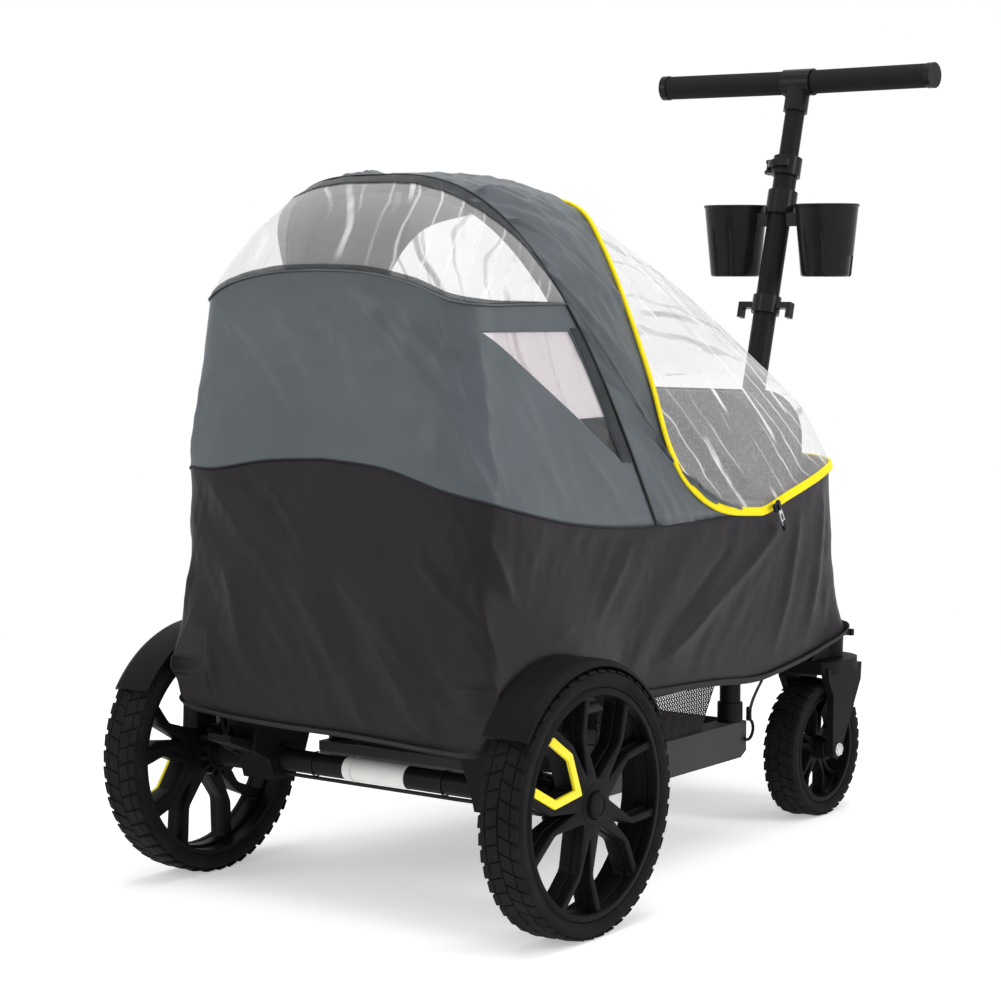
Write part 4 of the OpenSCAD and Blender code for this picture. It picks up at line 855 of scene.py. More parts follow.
def make_tyre(node, side, body, seat, lugs, lug_height):
    centre, outer, half = wheel_centre(node)
    place = axle_frame(centre, side)
    tread = outer - lug_height
    profile = [[seat, -half + 4], [seat + 1.5, -half + 1.6], [seat + 3.5, -half + 2.6],
               [seat + 5, -half + 0.9]]
    profile += [[tread - 7, -half + 0.2], [tread - 3.2, -half + 1.6], [tread - 0.8, -half + 5],
                [tread, -half * 0.5]]
    profile += [[r, -z] for r, z in profile[::-1]]
    points, faces = lathe(profile, 160)
    tyre = placed(new_piece(node + "_carcass", points, faces, rubber, None), place)
    fix_normals(tyre)
    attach(tyre, body)
    unit = scratch_unit(node + "_lug", *tread_unit(half - 1.5, 2 * pi * tread / lugs, lug_height))
    repeat_round(node + "_tread", unit, lugs, tread / 1000, rubber, place, body)
    bpy.data.objects.remove(unit)
    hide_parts(node)
    return place


for label, side in SIDES:
    make_tyre("rear_tyre_" + label, side, "rear_wheel_" + label, 134, 48, 1.6)

# ---------------------------------------------------------------- rear rims
# Moulded in black plastic: five pairs of kinked spokes spring from the hub as petals, inside a
# band with a stepped lip. One petal of each rim carries a glossy yellow C, clipped to its edge.


def filled(name, outlines, low, high, bevel, material, frame_matrix, body):
    """A plate from outlines [x, y] in millimetres, holes included, with rounded edges."""
    flat = bpy.data.curves.new(name, "CURVE")
    flat.dimensions, flat.fill_mode = "2D", "BOTH"
    for outline in outlines:
        spline = flat.splines.new("POLY")
        spline.points.add(len(outline) - 1)
        for point, (x, y) in zip(spline.points, outline):
            point.co = (x / 1000, y / 1000, 0, 1)
        spline.use_cyclic_u = True
    flat.extrude = (high - low) / 2000 - bevel / 1000
    flat.bevel_depth, flat.bevel_resolution, flat.offset = bevel / 1000, 2, -bevel / 1000
    scratch = bpy.data.objects.new(name + "_flat", flat)
    bpy.context.collection.objects.link(scratch)
    mesh = bpy.data.meshes.new_from_object(scratch.evaluated_get(bpy.context.evaluated_depsgraph_get()))
    bpy.data.objects.remove(scratch)
    mesh.name = name
    mesh.transform(frame_matrix @ Matrix.Translation((0, 0, (high + low) / 2000)))
    mesh.materials.clear()
    mesh.materials.append(material)
    piece = bpy.data.objects.new(name, mesh)
    bpy.context.collection.objects.link(piece)
    fix_normals(piece)
    piece.data.shade_smooth()
    soft_edges(piece)
    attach(piece, body)
    return piece


def soft_edges(piece, angle=35):
    """Smooth shading that breaks at the sharper edges."""
    bm = bmesh.new()
    bm.from_mesh(piece.data)
    for e in bm.edges:
        e.smooth = len(e.link_faces) == 2 and e.calc_face_angle(0) < radians(angle)
    bm.to_mesh(piece.data)
    bm.free()


def circle(radius, steps=128):
    turn = np.arange(steps) * 2 * pi / steps
    return np.stack([radius * np.cos(turn), radius * np.sin(turn)], axis=1)


def turned_2d(outline, degrees):
    c, s = cos(radians(degrees)), sin(radians(degrees))
    return np.array(outline) @ np.array([[c, s], [-s, c]])


rim_plastic = finish_of("rim_plastic", (0.0065, 0.0065, 0.0075), 0.44, vary=0.15, patch=20, grain=1300,
                        bump=0.16, depth=0.0003, Specular_IOR_Level=0.22)
yellow_gloss = finish_of("insert_yellow", (0.9, 0.76, 0.02), 0.28, vary=0.04, patch=30, grain=900,
                         bump=0.05, Coat_Weight=0.3)


def petal_windows(scale, reach, first, draft=0.0):
    """The petals inside the spoke pairs, and the kites between the pairs, narrowed by a draft."""
    outlines = []
    for k in range(5):
        turn = first + 72 * k
        half, kite_half = 16.8 - np.degrees(draft / reach), 14.8 - np.degrees(draft / reach)
        edge = [[reach * cos(radians(a)), reach * sin(radians(a))] for a in np.linspace(half, -half, 9)]
        petal = [np.array([28 * scale + 1.6 * draft, 0]), np.array([72 * scale, 34 * scale - draft])] + [
            np.array(p) for p in edge] + [np.array([72 * scale, -34 * scale + draft])]
        outlines.append(turned_2d(rounded(petal, 5 * scale), turn))
        edge = [[reach * cos(radians(a)), reach * sin(radians(a))]
                for a in np.linspace(kite_half, -kite_half, 7)]
        kite = [np.array([38 * scale + 4 * draft, 0]),
                np.array([86 * scale + draft, 9.5 * scale - 0.4 * draft])] + [
            np.array(p) for p in edge] + [np.array([86 * scale + draft, -9.5 * scale + 0.4 * draft])]
        outlines.append(turned_2d(rounded(kite, 3 * scale), turn + 36))
    return outlines


PETAL_TURN = {1: -197, -1: 149.5}
for label, side in SIDES:
    centre, outer, half = wheel_centre("rear_tyre_" + label)
    place, body = axle_frame(centre, side), "rear_wheel_" + label
    first = PETAL_TURN[side]
    spokes = filled("rear_spokes_" + label, [circle(130)] + petal_windows(1.0, 126.5, first), 10, 24, 1.6,
                    rim_plastic, place, body)
    filled("rear_spoke_roots_" + label, [circle(129)] + petal_windows(1.0, 124.5, first, 1.9), -4, 12,
           1.4, rim_plastic, place, body)
    band = [[128, -24], [133.8, -24.5], [133.8, 25], [131, 26.8], [126.5, 26.8], [125.3, 25.5],
            [125.3, 20], [127.4, 18], [128, 14]]
    points, faces = lathe(band)
    ring = placed(new_piece("rear_band_" + label, points, faces, rim_plastic, None), place)
    fix_normals(ring)
    soft_edges(ring)
    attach(ring, body)
    hub = [[6.1, -30], [22, -30], [24, -28], [24, -8], [25.5, -4], [25.5, 22], [24, 24.6], [17.2, 25],
           [16.4, 24], [16.4, 12], [6.1, 12]]
    points, faces = lathe(hub, 96)
    boss = placed(new_piece("rear_hub_" + label, points, faces, rim_plastic, None), place)
    fix_normals(boss)
    soft_edges(boss)
    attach(boss, body)
    teeth = []
    for k in range(16):
        for a, r in ((-3.5, 26), (-5.0, 33), (-4.0, 34), (4.0, 34), (5.0, 33), (3.5, 26)):
            turn = radians(22.5 * (k + 0.5) + a)
            teeth.append([r * cos(turn), r * sin(turn)])
    filled("brake_ring_" + label, [teeth, circle(20, 48)], -30, -20, 0.6, rim_plastic, place, body)
    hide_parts("rear_rim_" + label)
    c_outline = [[29.5, 0], [72, 33.6], [117, 36.0], [119.6, 25.6], [75.2, 23.4], [45.5, 0],
                 [75.2, -23.4], [119.6, -25.6], [117, -36.0], [72, -33.6]]
    insert = filled("rim_insert_" + label, [turned_2d(rounded(c_outline, 2.2), first)], 20, 24.8, 1.0,
                    yellow_gloss, place, body)
    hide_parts("rim_insert_" + label)
    filled("insert_backing_" + label, [turned_2d(rounded(c_outline, 2.2), first) * 0.998], -4, 19.8, 1.0,
           rim_plastic, place, body)
    cap = [[0, 16.4], [15.8, 16.4], [16, 26.6], [15.2, 28.6], [13.4, 29.6], [12.4, 28.6], [6, 29.2],
           [0, 29.4]]
    points, faces = lathe(cap, 64)
    button = placed(new_piece("hub_cap_" + label, points, faces, rim_plastic, None), place)
    fix_normals(button)
    soft_edges(button)
    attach(button, "hub_button_" + label)
    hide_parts("hub_button_" + label)

# ---------------------------------------------------------------- front wheels
# The same forms at two thirds of the size, in forks that swivel.
for label, side in SIDES:
    body = "front_wheel_" + label
    place = make_tyre("front_tyre_" + label, side, body, 77, 34, 1.4)
    spokes = filled("front_spokes_" + label, [circle(75, 96)] + petal_windows(0.56, 69.5, 50), -9, 9,
                    1.4, rim_plastic, place, body)
    band = [[70, -20], [76.8, -20.5], [76.8, 20.5], [74, 22.4], [69.6, 22.4], [68.6, 21], [68.6, 15],
            [70, 12]]
    points, faces = lathe(band, 112)
    ring = placed(new_piece("front_band_" + label, points, faces, rim_plastic, None), place)
    hub = [[5.1, -27], [14, -27], [16, -25], [16, 25], [14, 27], [5.1, 27]]
    points, faces = lathe(hub, 64)
    boss = placed(new_piece("front_hub_" + label, points, faces, rim_plastic, None), place)
    for piece in (ring, boss):
        fix_normals(piece)
        soft_edges(piece)
        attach(piece, body)
    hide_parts("front_rim_" + label)

# ---------------------------------------------------------------- canopy under the cover
# Two springy plastic hoops in fabric sleeves carry the folding canopy. Its plain grey cloth
# hangs slack between them, and a strip of black netting closes its rear edge.
FRONT_HOOP = [[250, 0, 857], [248, -60, 850], [238, -125, 832], [227, -165, 788], [222, -198, 724],
              [228, -214, 640], [243, -221, 543], [275, -226, 450]]
hoop_plastic = finish_of("hoop_plastic", (0.02, 0.02, 0.021), 0.42, vary=0.15, patch=30, grain=900,
                         bump=0.1)
hoop_run = np.linspace(0, 1, 70)
rear_hoop = on_surface(half_to_loop(millimetres(bow_points(hoop_run))[None])[0], -0.012)
fore_hoop = on_surface(half_to_loop(millimetres(along(FRONT_HOOP, hoop_run))[None])[0], -0.012)
hoops = [tube(name, line, 0.005, hoop_plastic, flat=0.6)
         for name, line in (("canopy_hoop_rear", rear_hoop), ("canopy_hoop_front", fore_hoop))]
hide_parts("canopy_hoops")

lining_cloth = finish_of("canopy_lining", (0.062, 0.068, 0.072), 0.8, vary=0.12, patch=12, grain=1600,
                         bump=0.2, depth=0.0004, weave=520, Sheen_Weight=0.15)
lining_grid = loft("bow", FRONT_HOOP, 36, 100, -3, 0.665)
inner = on_surface(lining_grid.reshape(-1, 3), -0.0205).reshape(lining_grid.shape)
edge_fade = np.linspace(1, 0, inner.shape[0])[:, None]
inner[..., 0] += 0.042 * edge_fade * np.clip(inner[..., 1] / 0.12, 0, 1)
lining_height = ripple(inner, (0.8, 0.2, -0.4), 42, 1.6, 41) + crease(inner, [
    [[60, -150, 840], [180, -160, 800], 12, -3], [[20, -60, 850], [200, -40, 845], 10, 3],
    [[20, 60, 850], [200, 90, 835], 11, -3], [[30, 170, 800], [160, 190, 740], 10, 3]])
lining = cloth_sheet("canopy_lining", inner, lining_cloth, 0.0009, lining_height)
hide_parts("canopy_sheet")
vent = (inner - grid_normals(inner) * 0.004)[0:6]
vent = vent[:, (vent[3, :, 1] > 0.115) & (vent[3, :, 1] < 0.206)]
rng = np.random.default_rng(5)
rows, columns = vent.shape[:2]
rows, columns, fine = rows * 3, columns * 3, vent
steps = [np.linspace(0, n - 1, m) for n, m in zip(fine.shape[:2], (rows, columns))]
fine = np.stack([[np.interp(steps[1], np.arange(vent.shape[1]), row) for row in vent[..., c]]
                 for c in range(3)], axis=-1)
fine = np.stack([np.stack([np.interp(steps[0], np.arange(vent.shape[0]), fine[:, j, c])
                           for j in range(columns)], axis=1)
                 for c in range(3)], axis=-1)
fine += rng.normal(scale=0.0004, size=fine.shape)
vent_thread = finish_of("vent_thread", (0.012, 0.012, 0.012), 0.8, vary=0.3, patch=60, grain=900,
                        bump=0.2)
vent_net = new_piece("canopy_vent", fine.reshape(-1, 3), grid_faces(rows, columns), vent_thread, None,
                     smooth=False)
threads = vent_net.modifiers.new("threads", "WIREFRAME")
threads.thickness, threads.use_replace = 0.0012, True
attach(vent_net, "root")

# ---------------------------------------------------------------- basket: floor, walls and front panel
# The basket is sewn from a thick melange cloth over stiff board. Its walls hang from the upper
# rails; the front one stands higher, with a bound, round-shouldered top.


def melange(name, light, dark, size=1.0):
    """Cloth spun from light and dark fibres: short flecks on a crossed weave."""
    material = finish_of(name, dark, 0.88, vary=0.1, patch=10, grain=1500, bump=0.35, depth=0.0008,
                         weave=330, Sheen_Weight=0.3, Sheen_Roughness=0.5)
    n, link = material.node_tree.nodes, material.node_tree.links.new
    place = next(x for x in n if x.type == "TEX_COORD")
    base = next(x for x in n if x.type == "VALTORGB").outputs["Color"]
    total = None
    for stretch in ((420, 420, 90), (90, 420, 420), (420, 90, 420)):
        turn = n.new("ShaderNodeMapping")
        turn.inputs["Scale"].default_value = tuple(s * size for s in stretch)
        link(place.outputs["Object"], turn.inputs["Vector"])
        fleck = n.new("ShaderNodeTexNoise")
        fleck.inputs["Scale"].default_value = 1.0
        fleck.inputs["Detail"].default_value = 2
        link(turn.outputs[0], fleck.inputs["Vector"])
        if total is None:
            total = fleck.outputs["Fac"]
        else:
            most = n.new("ShaderNodeMath")
            most.operation = "MAXIMUM"
            link(total, most.inputs[0])
            link(fleck.outputs["Fac"], most.inputs[1])
            total = most.outputs[0]
    sharp = n.new("ShaderNodeMapRange")
    sharp.inputs["From Min"].default_value, sharp.inputs["From Max"].default_value = 0.56, 0.68
    link(total, sharp.inputs["Value"])
    mix = n.new("ShaderNodeMix")
    mix.data_type = "RGBA"
    link(sharp.outputs[0], mix.inputs["Factor"])
    link(base, mix.inputs[6])
    mix.inputs[7].default_value = (*light, 1)
    link(mix.outputs[2], n["Principled BSDF"].inputs["Base Color"])
    return material


heather_cloth = melange("heather_cloth", (0.2, 0.22, 0.215), (0.058, 0.065, 0.064))
walls_low, walls_high = (np.array(c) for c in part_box("basket_walls"))


def deck_loop(half, inset, height, count=160, corner=0.056):
    """Points round the basket at a height: a rectangle with round corners."""
    x0, x1 = AXLE[0] - 0.062 + inset, AXLE[0] + 0.700 - inset
    c = corner - inset
    arcs = [((x1 - c, half - inset - c), 0), ((x0 + c, half - inset - c), 90),
            ((x0 + c, -half + inset + c), 180), ((x1 - c, -half + inset + c), 270)]
    corners = [np.array([m[0] + c * cos(radians(a + s)), m[1] + c * sin(radians(a + s))])
               for m, a in arcs for s in np.linspace(0, 90, 9)]
    ring = np.array(corners + corners[:1])
    run = np.concatenate([[0], np.cumsum(np.linalg.norm(np.diff(ring, axis=0), axis=1))])
    even = np.linspace(0, run[-1], count, endpoint=False)
    flat = np.stack([np.interp(even, run, ring[:, k]) for k in (0, 1)], axis=1)
    return np.concatenate([flat, np.full((count, 1), height)], axis=1)


wall_rows = np.linspace(0, 1, 30)
floor_z, top_z = float(walls_low[2]), AXLE[2] + 0.285
wall_grid = np.stack([deck_loop(0.172 + 0.019 * t, 0.0015, floor_z + t * (top_z - floor_z))
                      for t in wall_rows])
wall_height = -0.001 + ripple(wall_grid, (0.1, 0.1, -1), 60, 1.2,
                              51) - 0.004 * np.sin(pi * wall_rows)[:, None]
walls = cloth_sheet("basket_walls_cloth", wall_grid, heather_cloth, 0.003, wall_height,
                    closed=True)
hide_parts("basket_walls")

panel_x = float(walls_high[0]) - 0.003
half_width, shoulder, panel_top, panel_foot = 0.158, 0.060, float(walls_high[2]), 0.42
outline = [(-half_width, panel_foot)] + [
    (-half_width + shoulder + shoulder * cos(radians(a)),
     panel_top - shoulder + shoulder * sin(radians(a)))
    for a in np.linspace(180, 90, 12)]
outline += [(-y, z) for y, z in outline[::-1]]
rim_line = np.array([[panel_x, y, z] for y, z in outline])
columns = 60
across = np.linspace(-half_width + 0.001, half_width - 0.001, columns)
tops = np.interp(across, [p[0] for p in outline], [p[1] for p in outline])
front_grid_cloth = np.array([[[panel_x, y, panel_foot + t * (top - panel_foot)] for y,
                              top in zip(across, tops)]
                             for t in np.linspace(0, 1, 40)])
panel_rise = ripple(front_grid_cloth, (0.1, 0.2, -1), 50, 1.3, 52) + 0.003 * (
    np.cos(across / half_width * pi / 2)[None, :] * np.sin(np.linspace(0, pi, 40))[:, None])
front_cloth = cloth_sheet("basket_front_panel", front_grid_cloth, heather_cloth, 0.004,
                          panel_rise - 0.002)
front_bound = tube("front_panel_binding", rim_line, 0.0036, binding_cloth, flat=0.8)

board = finish_of("deck_board_cloth", (0.03, 0.03, 0.032), 0.9, vary=0.2, patch=20, grain=1400, bump=0.3,
                  weave=400)


def dress(material, *nodes):
    """A CAD piece keeps its own form and gets its finish."""
    for node in nodes:
        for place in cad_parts[node].material_slots:
            place.link = "OBJECT"
            place.material = material


dress(board, "basket_floor")

# ---------------------------------------------------------------- bench cushions
# Two foam pads in melange covers, crowned and pulled in between their corners, lie on the decks at the ends
# of the basket.


def bench_cushion(name, x0, x1, half, low, high, swell_cap=0.009):
    """A pad that starts as a rounded block and is blown up a little by a cloth simulation."""
    bm = bmesh.new()
    bmesh.ops.create_cube(bm, size=1)
    mid = Vector(((x0 + x1) / 2, 0, (low + high) / 2))
    for v in bm.verts:
        v.co = Vector((v.co.x * (x1 - x0 - 0.016), v.co.y * (2 * half - 0.016),
                       v.co.z * (high - low - 0.014))) + mid
    bmesh.ops.bevel(bm, geom=list(bm.edges), offset=0.014, segments=4, profile=0.6, affect="EDGES")
    mesh = bpy.data.meshes.new(name)
    bm.to_mesh(mesh)
    bm.free()
    piece = bpy.data.objects.new(name, mesh)
    bpy.context.collection.objects.link(piece)
    remesh = piece.modifiers.new("even", "REMESH")
    remesh.mode, remesh.voxel_size = "VOXEL", 0.006
    bpy.context.view_layer.update()
    even = bpy.data.meshes.new_from_object(piece.evaluated_get(bpy.context.evaluated_depsgraph_get()))
    piece.modifiers.clear()
    piece.data = even
    start = np.array([v.co[:] for v in even.vertices])
    blow = piece.modifiers.new("blow", "CLOTH")
    blow.settings.use_pressure = True
    blow.settings.uniform_pressure_force = 4
    blow.settings.effector_weights.gravity = 0
    blow.point_cache.frame_start, blow.point_cache.frame_end = 1, 20
    for f in range(1, 21):
        bpy.context.scene.frame_set(f)
    done = piece.evaluated_get(bpy.context.evaluated_depsgraph_get())
    moved = np.array([v.co[:] for v in done.data.vertices]) - start
    far = np.linalg.norm(moved, axis=1, keepdims=True)
    moved *= np.minimum(1, swell_cap / np.maximum(far, 1e-9))
    end = start + moved
    end[:, 2] = np.maximum(end[:, 2], low + 0.0005)
    piece.modifiers.clear()
    even.vertices.foreach_set("co", end.ravel())
    bpy.context.scene.frame_set(1)
    piece.data.name = name
    piece.data.materials.clear()
    piece.data.materials.append(heather_cloth)
    piece.data.shade_smooth()
    smooth = piece.modifiers.new("smooth", "SUBSURF")
    smooth.levels = smooth.render_levels = 1
    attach(piece, "root")
    return piece


seat_low, seat_high = (np.array(c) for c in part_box("seat_cushions"))
cushion_places = {"bench_cushion_rear": (float(seat_low[0]), AXLE[0] + 0.150),
                  "bench_cushion_front": (AXLE[0] + 0.545, float(seat_high[0]))}
for name, (x0, x1) in cushion_places.items():
    bench_cushion(name, x0 + 0.003, x1 - 0.003, float(seat_high[1]) - 0.012,
                              float(seat_low[2]), float(seat_high[2]))
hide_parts("seat_cushions")

# ---------------------------------------------------------------- frame tubes
# Drawn aluminium tubes with a satin black powder coat: the lower rails and cross tubes, the
# ring of upper rails, the corner posts and the rear axle tube.
powder_coat = finish_of("powder_coat", (0.011, 0.011, 0.012), 0.36, vary=0.18, patch=16, grain=1100,
                        bump=0.1, depth=0.0002, Specular_IOR_Level=0.3)
dress(powder_coat, "rear_axle_tube", "lower_frame", "upper_rails", "posts", "handle_bracket")
bright_steel = finish_of("bright_steel", (0.55, 0.55, 0.57), 0.26, vary=0.12, patch=60, grain=500,
                         bump=0.06, stretch=(1, 6, 1), Metallic=1.0)
dress(bright_steel, "rear_axle_pins", "brake_pin_left", "brake_pin_right", "fork_axle_left",
      "fork_axle_right")

# ---------------------------------------------------------------- footwell
# A moulded dark grey pan with deep side beams hangs between the posts; black netting closes
# the gap under the basket on each side.
pan_plastic = finish_of("pan_plastic", (0.05, 0.05, 0.053), 0.6, vary=0.12, patch=12, grain=1300,
                        bump=0.2, depth=0.0003, Specular_IOR_Level=0.25)
dress(pan_plastic, "footwell_pan")
netting_thread = finish_of("netting_thread", (0.035, 0.03, 0.03), 0.8, vary=0.3, patch=60, grain=900,
                           bump=0.2)


def netting(name, corners, cell, material, slot):
    """Open netting over a four-cornered patch [bottom back, bottom front, top front, top back]."""
    corners = [np.array(c, float) for c in corners]
    across = max(2, int(np.linalg.norm(corners[1] - corners[0]) / cell))
    climb = max(2, int(np.linalg.norm(corners[3] - corners[0]) / cell))
    points, faces = [], []
    for i in range(climb + 1):
        t = i / climb
        a, b = corners[0] * (1 - t) + corners[3] * t, corners[1] * (1 - t) + corners[2] * t
        shift = 0.5 if i % 2 else 0.0
        for j in range(across + 1):
            s = min(1, max(0, (j + shift) / across))
            points.append(a * (1 - s) + b * s)
    n = across + 1
    for i in range(climb):
        for j in range(across):
            p, q = i * n + j, (i + 1) * n + j
            faces += ([(p, p + 1, q), (p + 1, q + 1, q)] if i % 2 == 0
                      else [(p, p + 1, q + 1), (p, q + 1, q)])
    piece = new_piece(name, points, faces, material, None, smooth=False)
    threads = piece.modifiers.new("threads", "WIREFRAME")
    threads.thickness = cell * 0.3
    threads.use_replace = True
    return piece


net_low, net_high = (np.array(c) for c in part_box("footwell_mesh"))
for label, side in SIDES:
    y = side * (float(net_high[1]) - 0.001)
    patch = [[net_low[0], y, net_low[2]], [net_high[0] - 0.036, y, net_low[2]],
             [net_high[0], y, net_high[2]], [net_low[0], y, net_high[2]]]
    net = netting("footwell_netting_" + label, patch, 0.0052, netting_thread, "mesh")
    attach(net, "root")
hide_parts("footwell_mesh")

# ---------------------------------------------------------------- rear axle housings, fenders and cable
# Moulded black housings on the axle tube carry the stub axles and the brake. Grey-black fenders
# with a thin rolled lip stand over the tyres. The brake cable is clipped along the axle tube.
fine_moulding = finish_of("fine_moulding", (0.009, 0.009, 0.010), 0.5, vary=0.15, patch=18, grain=1500,
                          bump=0.2, depth=0.0003, Specular_IOR_Level=0.22)
dress(fine_moulding, "rear_brackets", "brake_pedal", "caster_housings", "swivel_lock_left",
      "swivel_lock_right", "caster_fork_left", "caster_fork_right")
fender_plastic = finish_of("fender_plastic", (0.0085, 0.0085, 0.0095), 0.5, vary=0.12, patch=10,
                           grain=1500, bump=0.16, depth=0.0003, Specular_IOR_Level=0.2)
FENDER = [(162.7, 254), (166.1, 254), (166.1, 303), (164.6, 308), (162, 312.4), (158.4, 313.8),
          (157.4, 312.6), (158.4, 311.6), (160.4, 309), (161.6, 306), (162.7, 302)]


def swept_arc(name, section, centre, first, last, steps, side, material, body):
    """A section [radius, y] turned about the axle between two angles from +X towards +Z."""
    points, faces, n = [], [], len(section)
    for a in np.linspace(radians(first), radians(last), steps):
        points += [(centre[0] + r / 1000 * cos(a), side * y / 1000, centre[2] + r / 1000 * sin(a)) for r,
                   y in section]
    faces += [(i * n + k, i * n + (k + 1) % n, (i + 1) * n + (k + 1) % n, (i + 1) * n + k)
              for i in range(steps - 1) for k in range(n)]
    faces += [tuple(range(n)), tuple((steps - 1) * n + k for k in range(n))[::-1]]
    piece = new_piece(name, points, faces, material, None)
    fix_normals(piece)
    soft_edges(piece, 28)
    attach(piece, body)
    return piece


for label, side in SIDES:
    cut = np.degrees(np.arcsin((0.248 - AXLE[2]) / 0.166))
    fender = swept_arc("fender_" + label, FENDER, AXLE, 31, 180 - cut, 72, side, fender_plastic, "root")
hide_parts("fenders")

cable_jacket = finish_of("cable_jacket", (0.014, 0.014, 0.015), 0.4, vary=0.2, patch=60, grain=900,
                         bump=0.1)
cable_run = millimetres(curve_at([[0, 149.8, 138], [0, 130, 137], [0, 60, 137], [0, 0, 137],
                                  [0, -60, 137],
                                  [0, -130, 137], [0, -149.8, 138]], np.linspace(0, 6, 60)))
cable = tube("brake_cable_jacket", cable_run, 0.0025, cable_jacket, sides=12)
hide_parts("brake_cable")
tie_plastic = finish_of("cable_tie", (0.75, 0.75, 0.74), 0.45, vary=0.05, patch=80, grain=600, bump=0.1)
for k, (y, finish) in enumerate(((100, cable_jacket), (38, tie_plastic), (-100, cable_jacket))):
    points, faces = lathe([[14.6, -1.2], [15.6, -1.2], [15.6, 1.2], [14.6, 1.2]], 48)
    clip = new_piece(f"cable_clip_{k}", points, faces, finish, None)
    clip.data.transform(Matrix.Translation((AXLE[0], y / 1000, AXLE[2]))
                        @ Matrix.Rotation(radians(90), 4, "X"))
    fix_normals(clip)
    soft_edges(clip)
    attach(clip, "root")
wrap_white = finish_of("paper_wrap", (0.8, 0.79, 0.77), 0.7, vary=0.05, patch=20, grain=500, bump=0.15)
wrap_profile = [[14.15, -50], [14.5, -50], [14.5, 45], [14.15, 45]]
points, faces = lathe(wrap_profile, 64)
wrap = new_piece("axle_label_wrap", points, faces, wrap_white, None)
wrap.data.transform(Matrix.Translation(AXLE) @ Matrix.Rotation(radians(90), 4, "X"))
fix_normals(wrap)
soft_edges(wrap)
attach(wrap, "root")

# ---------------------------------------------------------------- elastic ties of the cover
# A flat elastic strap runs from the hem to each side beam of the footwell. It ends in a black
# moulded barrel and an open hook, which catches the beam's edge.
elastic = finish_of("elastic_strap", (0.014, 0.014, 0.015), 0.75, vary=0.25, patch=120, grain=1200,
                    bump=0.3, weave=900)
TIE_RUN = [[538, 214.5, 244], [539, 213.5, 222], [541, 205, 206], [543, 197, 191], [545, 191, 176]]
for label, side in SIDES:
    run = millimetres(curve_at(np.array(TIE_RUN) * [1, side, 1], np.linspace(0, 4, 24)))
    strap = tube("tie_strap_" + label, run, 0.0042, elastic, flat=0.3)
    points, faces = lathe([[0, 0], [3.0, 0], [3.8, 1], [3.8, 7], [3.2, 8], [3.8, 9], [3.8, 16],
                           [3.0, 17.5], [0, 17.5]], 24)
    barrel = new_piece("tie_barrel_" + label, points, faces, fine_moulding, None)
    barrel.data.transform(Matrix.Translation(millimetres([545, side * 189.5, 162])))
    fix_normals(barrel)
    soft_edges(barrel)
    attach(barrel, "root")
    turn = np.radians(np.linspace(96, -128, 40))
    hook_run = np.stack([545 + 13.6 * np.cos(turn), np.full(40, side * 188.0),
                         149 + 13.6 * np.sin(turn)], axis=1)
    hook_run = np.concatenate([[[545, side * 189, 166]], hook_run])
    tube("tie_hook_" + label, millimetres(hook_run), 0.0022, fine_moulding, sides=12)
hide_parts("tie_downs")

# ---------------------------------------------------------------- caster forks
# Each front wheel hangs in a moulded fork, which keeps the form of its solid. The bolt through
# its two legs ends in a domed steel head with a socket on both sides.


def loop_piece(name, loops, material, body, cap=True):
    """A closed form through a list of loops with the same number of points."""
    loops = np.asarray(loops, float)
    m, n = loops.shape[:2]
    faces = [(i * n + k, i * n + (k + 1) % n, (i + 1) * n + (k + 1) % n, (i + 1) * n + k)
             for i in range(m - 1) for k in range(n)]
    if cap:
        faces += [tuple(range(n))[::-1], tuple((m - 1) * n + k for k in range(n))]
    piece = new_piece(name, loops.reshape(-1, 3), faces, material, None)
    fix_normals(piece)
    soft_edges(piece, 32)
    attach(piece, body)
    return piece


def bolt_head(name, centre, out, radius, height, material, body):
    """A domed bolt head with a socket, seated on a face."""
    profile = [[0, 0], [radius, 0], [radius, height * 0.5], [radius * 0.8, height * 0.9],
               [radius * 0.55, height], [radius * 0.5, height * 0.4], [0, height * 0.4]]
    points, faces = lathe(profile, 36)
    piece = new_piece(name, points, faces, material, None)
    turn = Vector(out).to_track_quat("Z", "Y").to_matrix().to_4x4()
    piece.data.transform(Matrix.Translation(centre) @ turn)
    fix_normals(piece)
    soft_edges(piece, 30)
    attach(piece, body)
    return piece


for label, side in SIDES:
    low, high = (np.array(c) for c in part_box("fork_axle_" + label))
    mid = (low + high) / 2
    for hand in (-1, 1):
        place = (mid[0], mid[1] + hand * 0.0402, mid[2])
        bolt_head(f"fork_bolt_{label}_{'outer' if hand * side > 0 else 'inner'}", place, (0, hand, 0),
                  9.2, 5.4, bright_steel, "caster_" + label)

# ---------------------------------------------------------------- handle tubes and clamps
# A round telescopic tube in satin black, with a quick-release collar, a clamp-on hook
# clip and a bracket for the cup holders. The grips are foam sleeves on a T-shaped joint.
PIVOT = np.array([AXLE[0] + 0.780, 0.0, 0.262])
LEAN = radians(15.5)
HANDLE = Matrix.Translation(PIVOT) @ Matrix.Rotation(LEAN, 4, "Y")
gloss_moulding = finish_of("gloss_moulding", (0.013, 0.013, 0.014), 0.2, vary=0.15, patch=18, grain=900,
                           bump=0.05, rough_vary=0.05)
dress(powder_coat, "handle_tube", "inner_tube")
dress(gloss_moulding, "clamp_collar", "clamp_lever", "cup_bracket", "hook_clip", "tee_joint", "end_caps")

# ---------------------------------------------------------------- cup holders
# Two glossy moulded cups with a rolled lip. A flute runs up the front and back of each, and a
# raised pad on the outer side ends in a step above the foot.
cup_low, cup_high = (np.array(c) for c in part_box("cup_holders"))
cup_x = float(cup_low[0] + cup_high[0]) / 2
CUP_Y, CUP_FOOT, CUP_TALL = 0.077, float(cup_low[2]), float(cup_high[2] - cup_low[2])


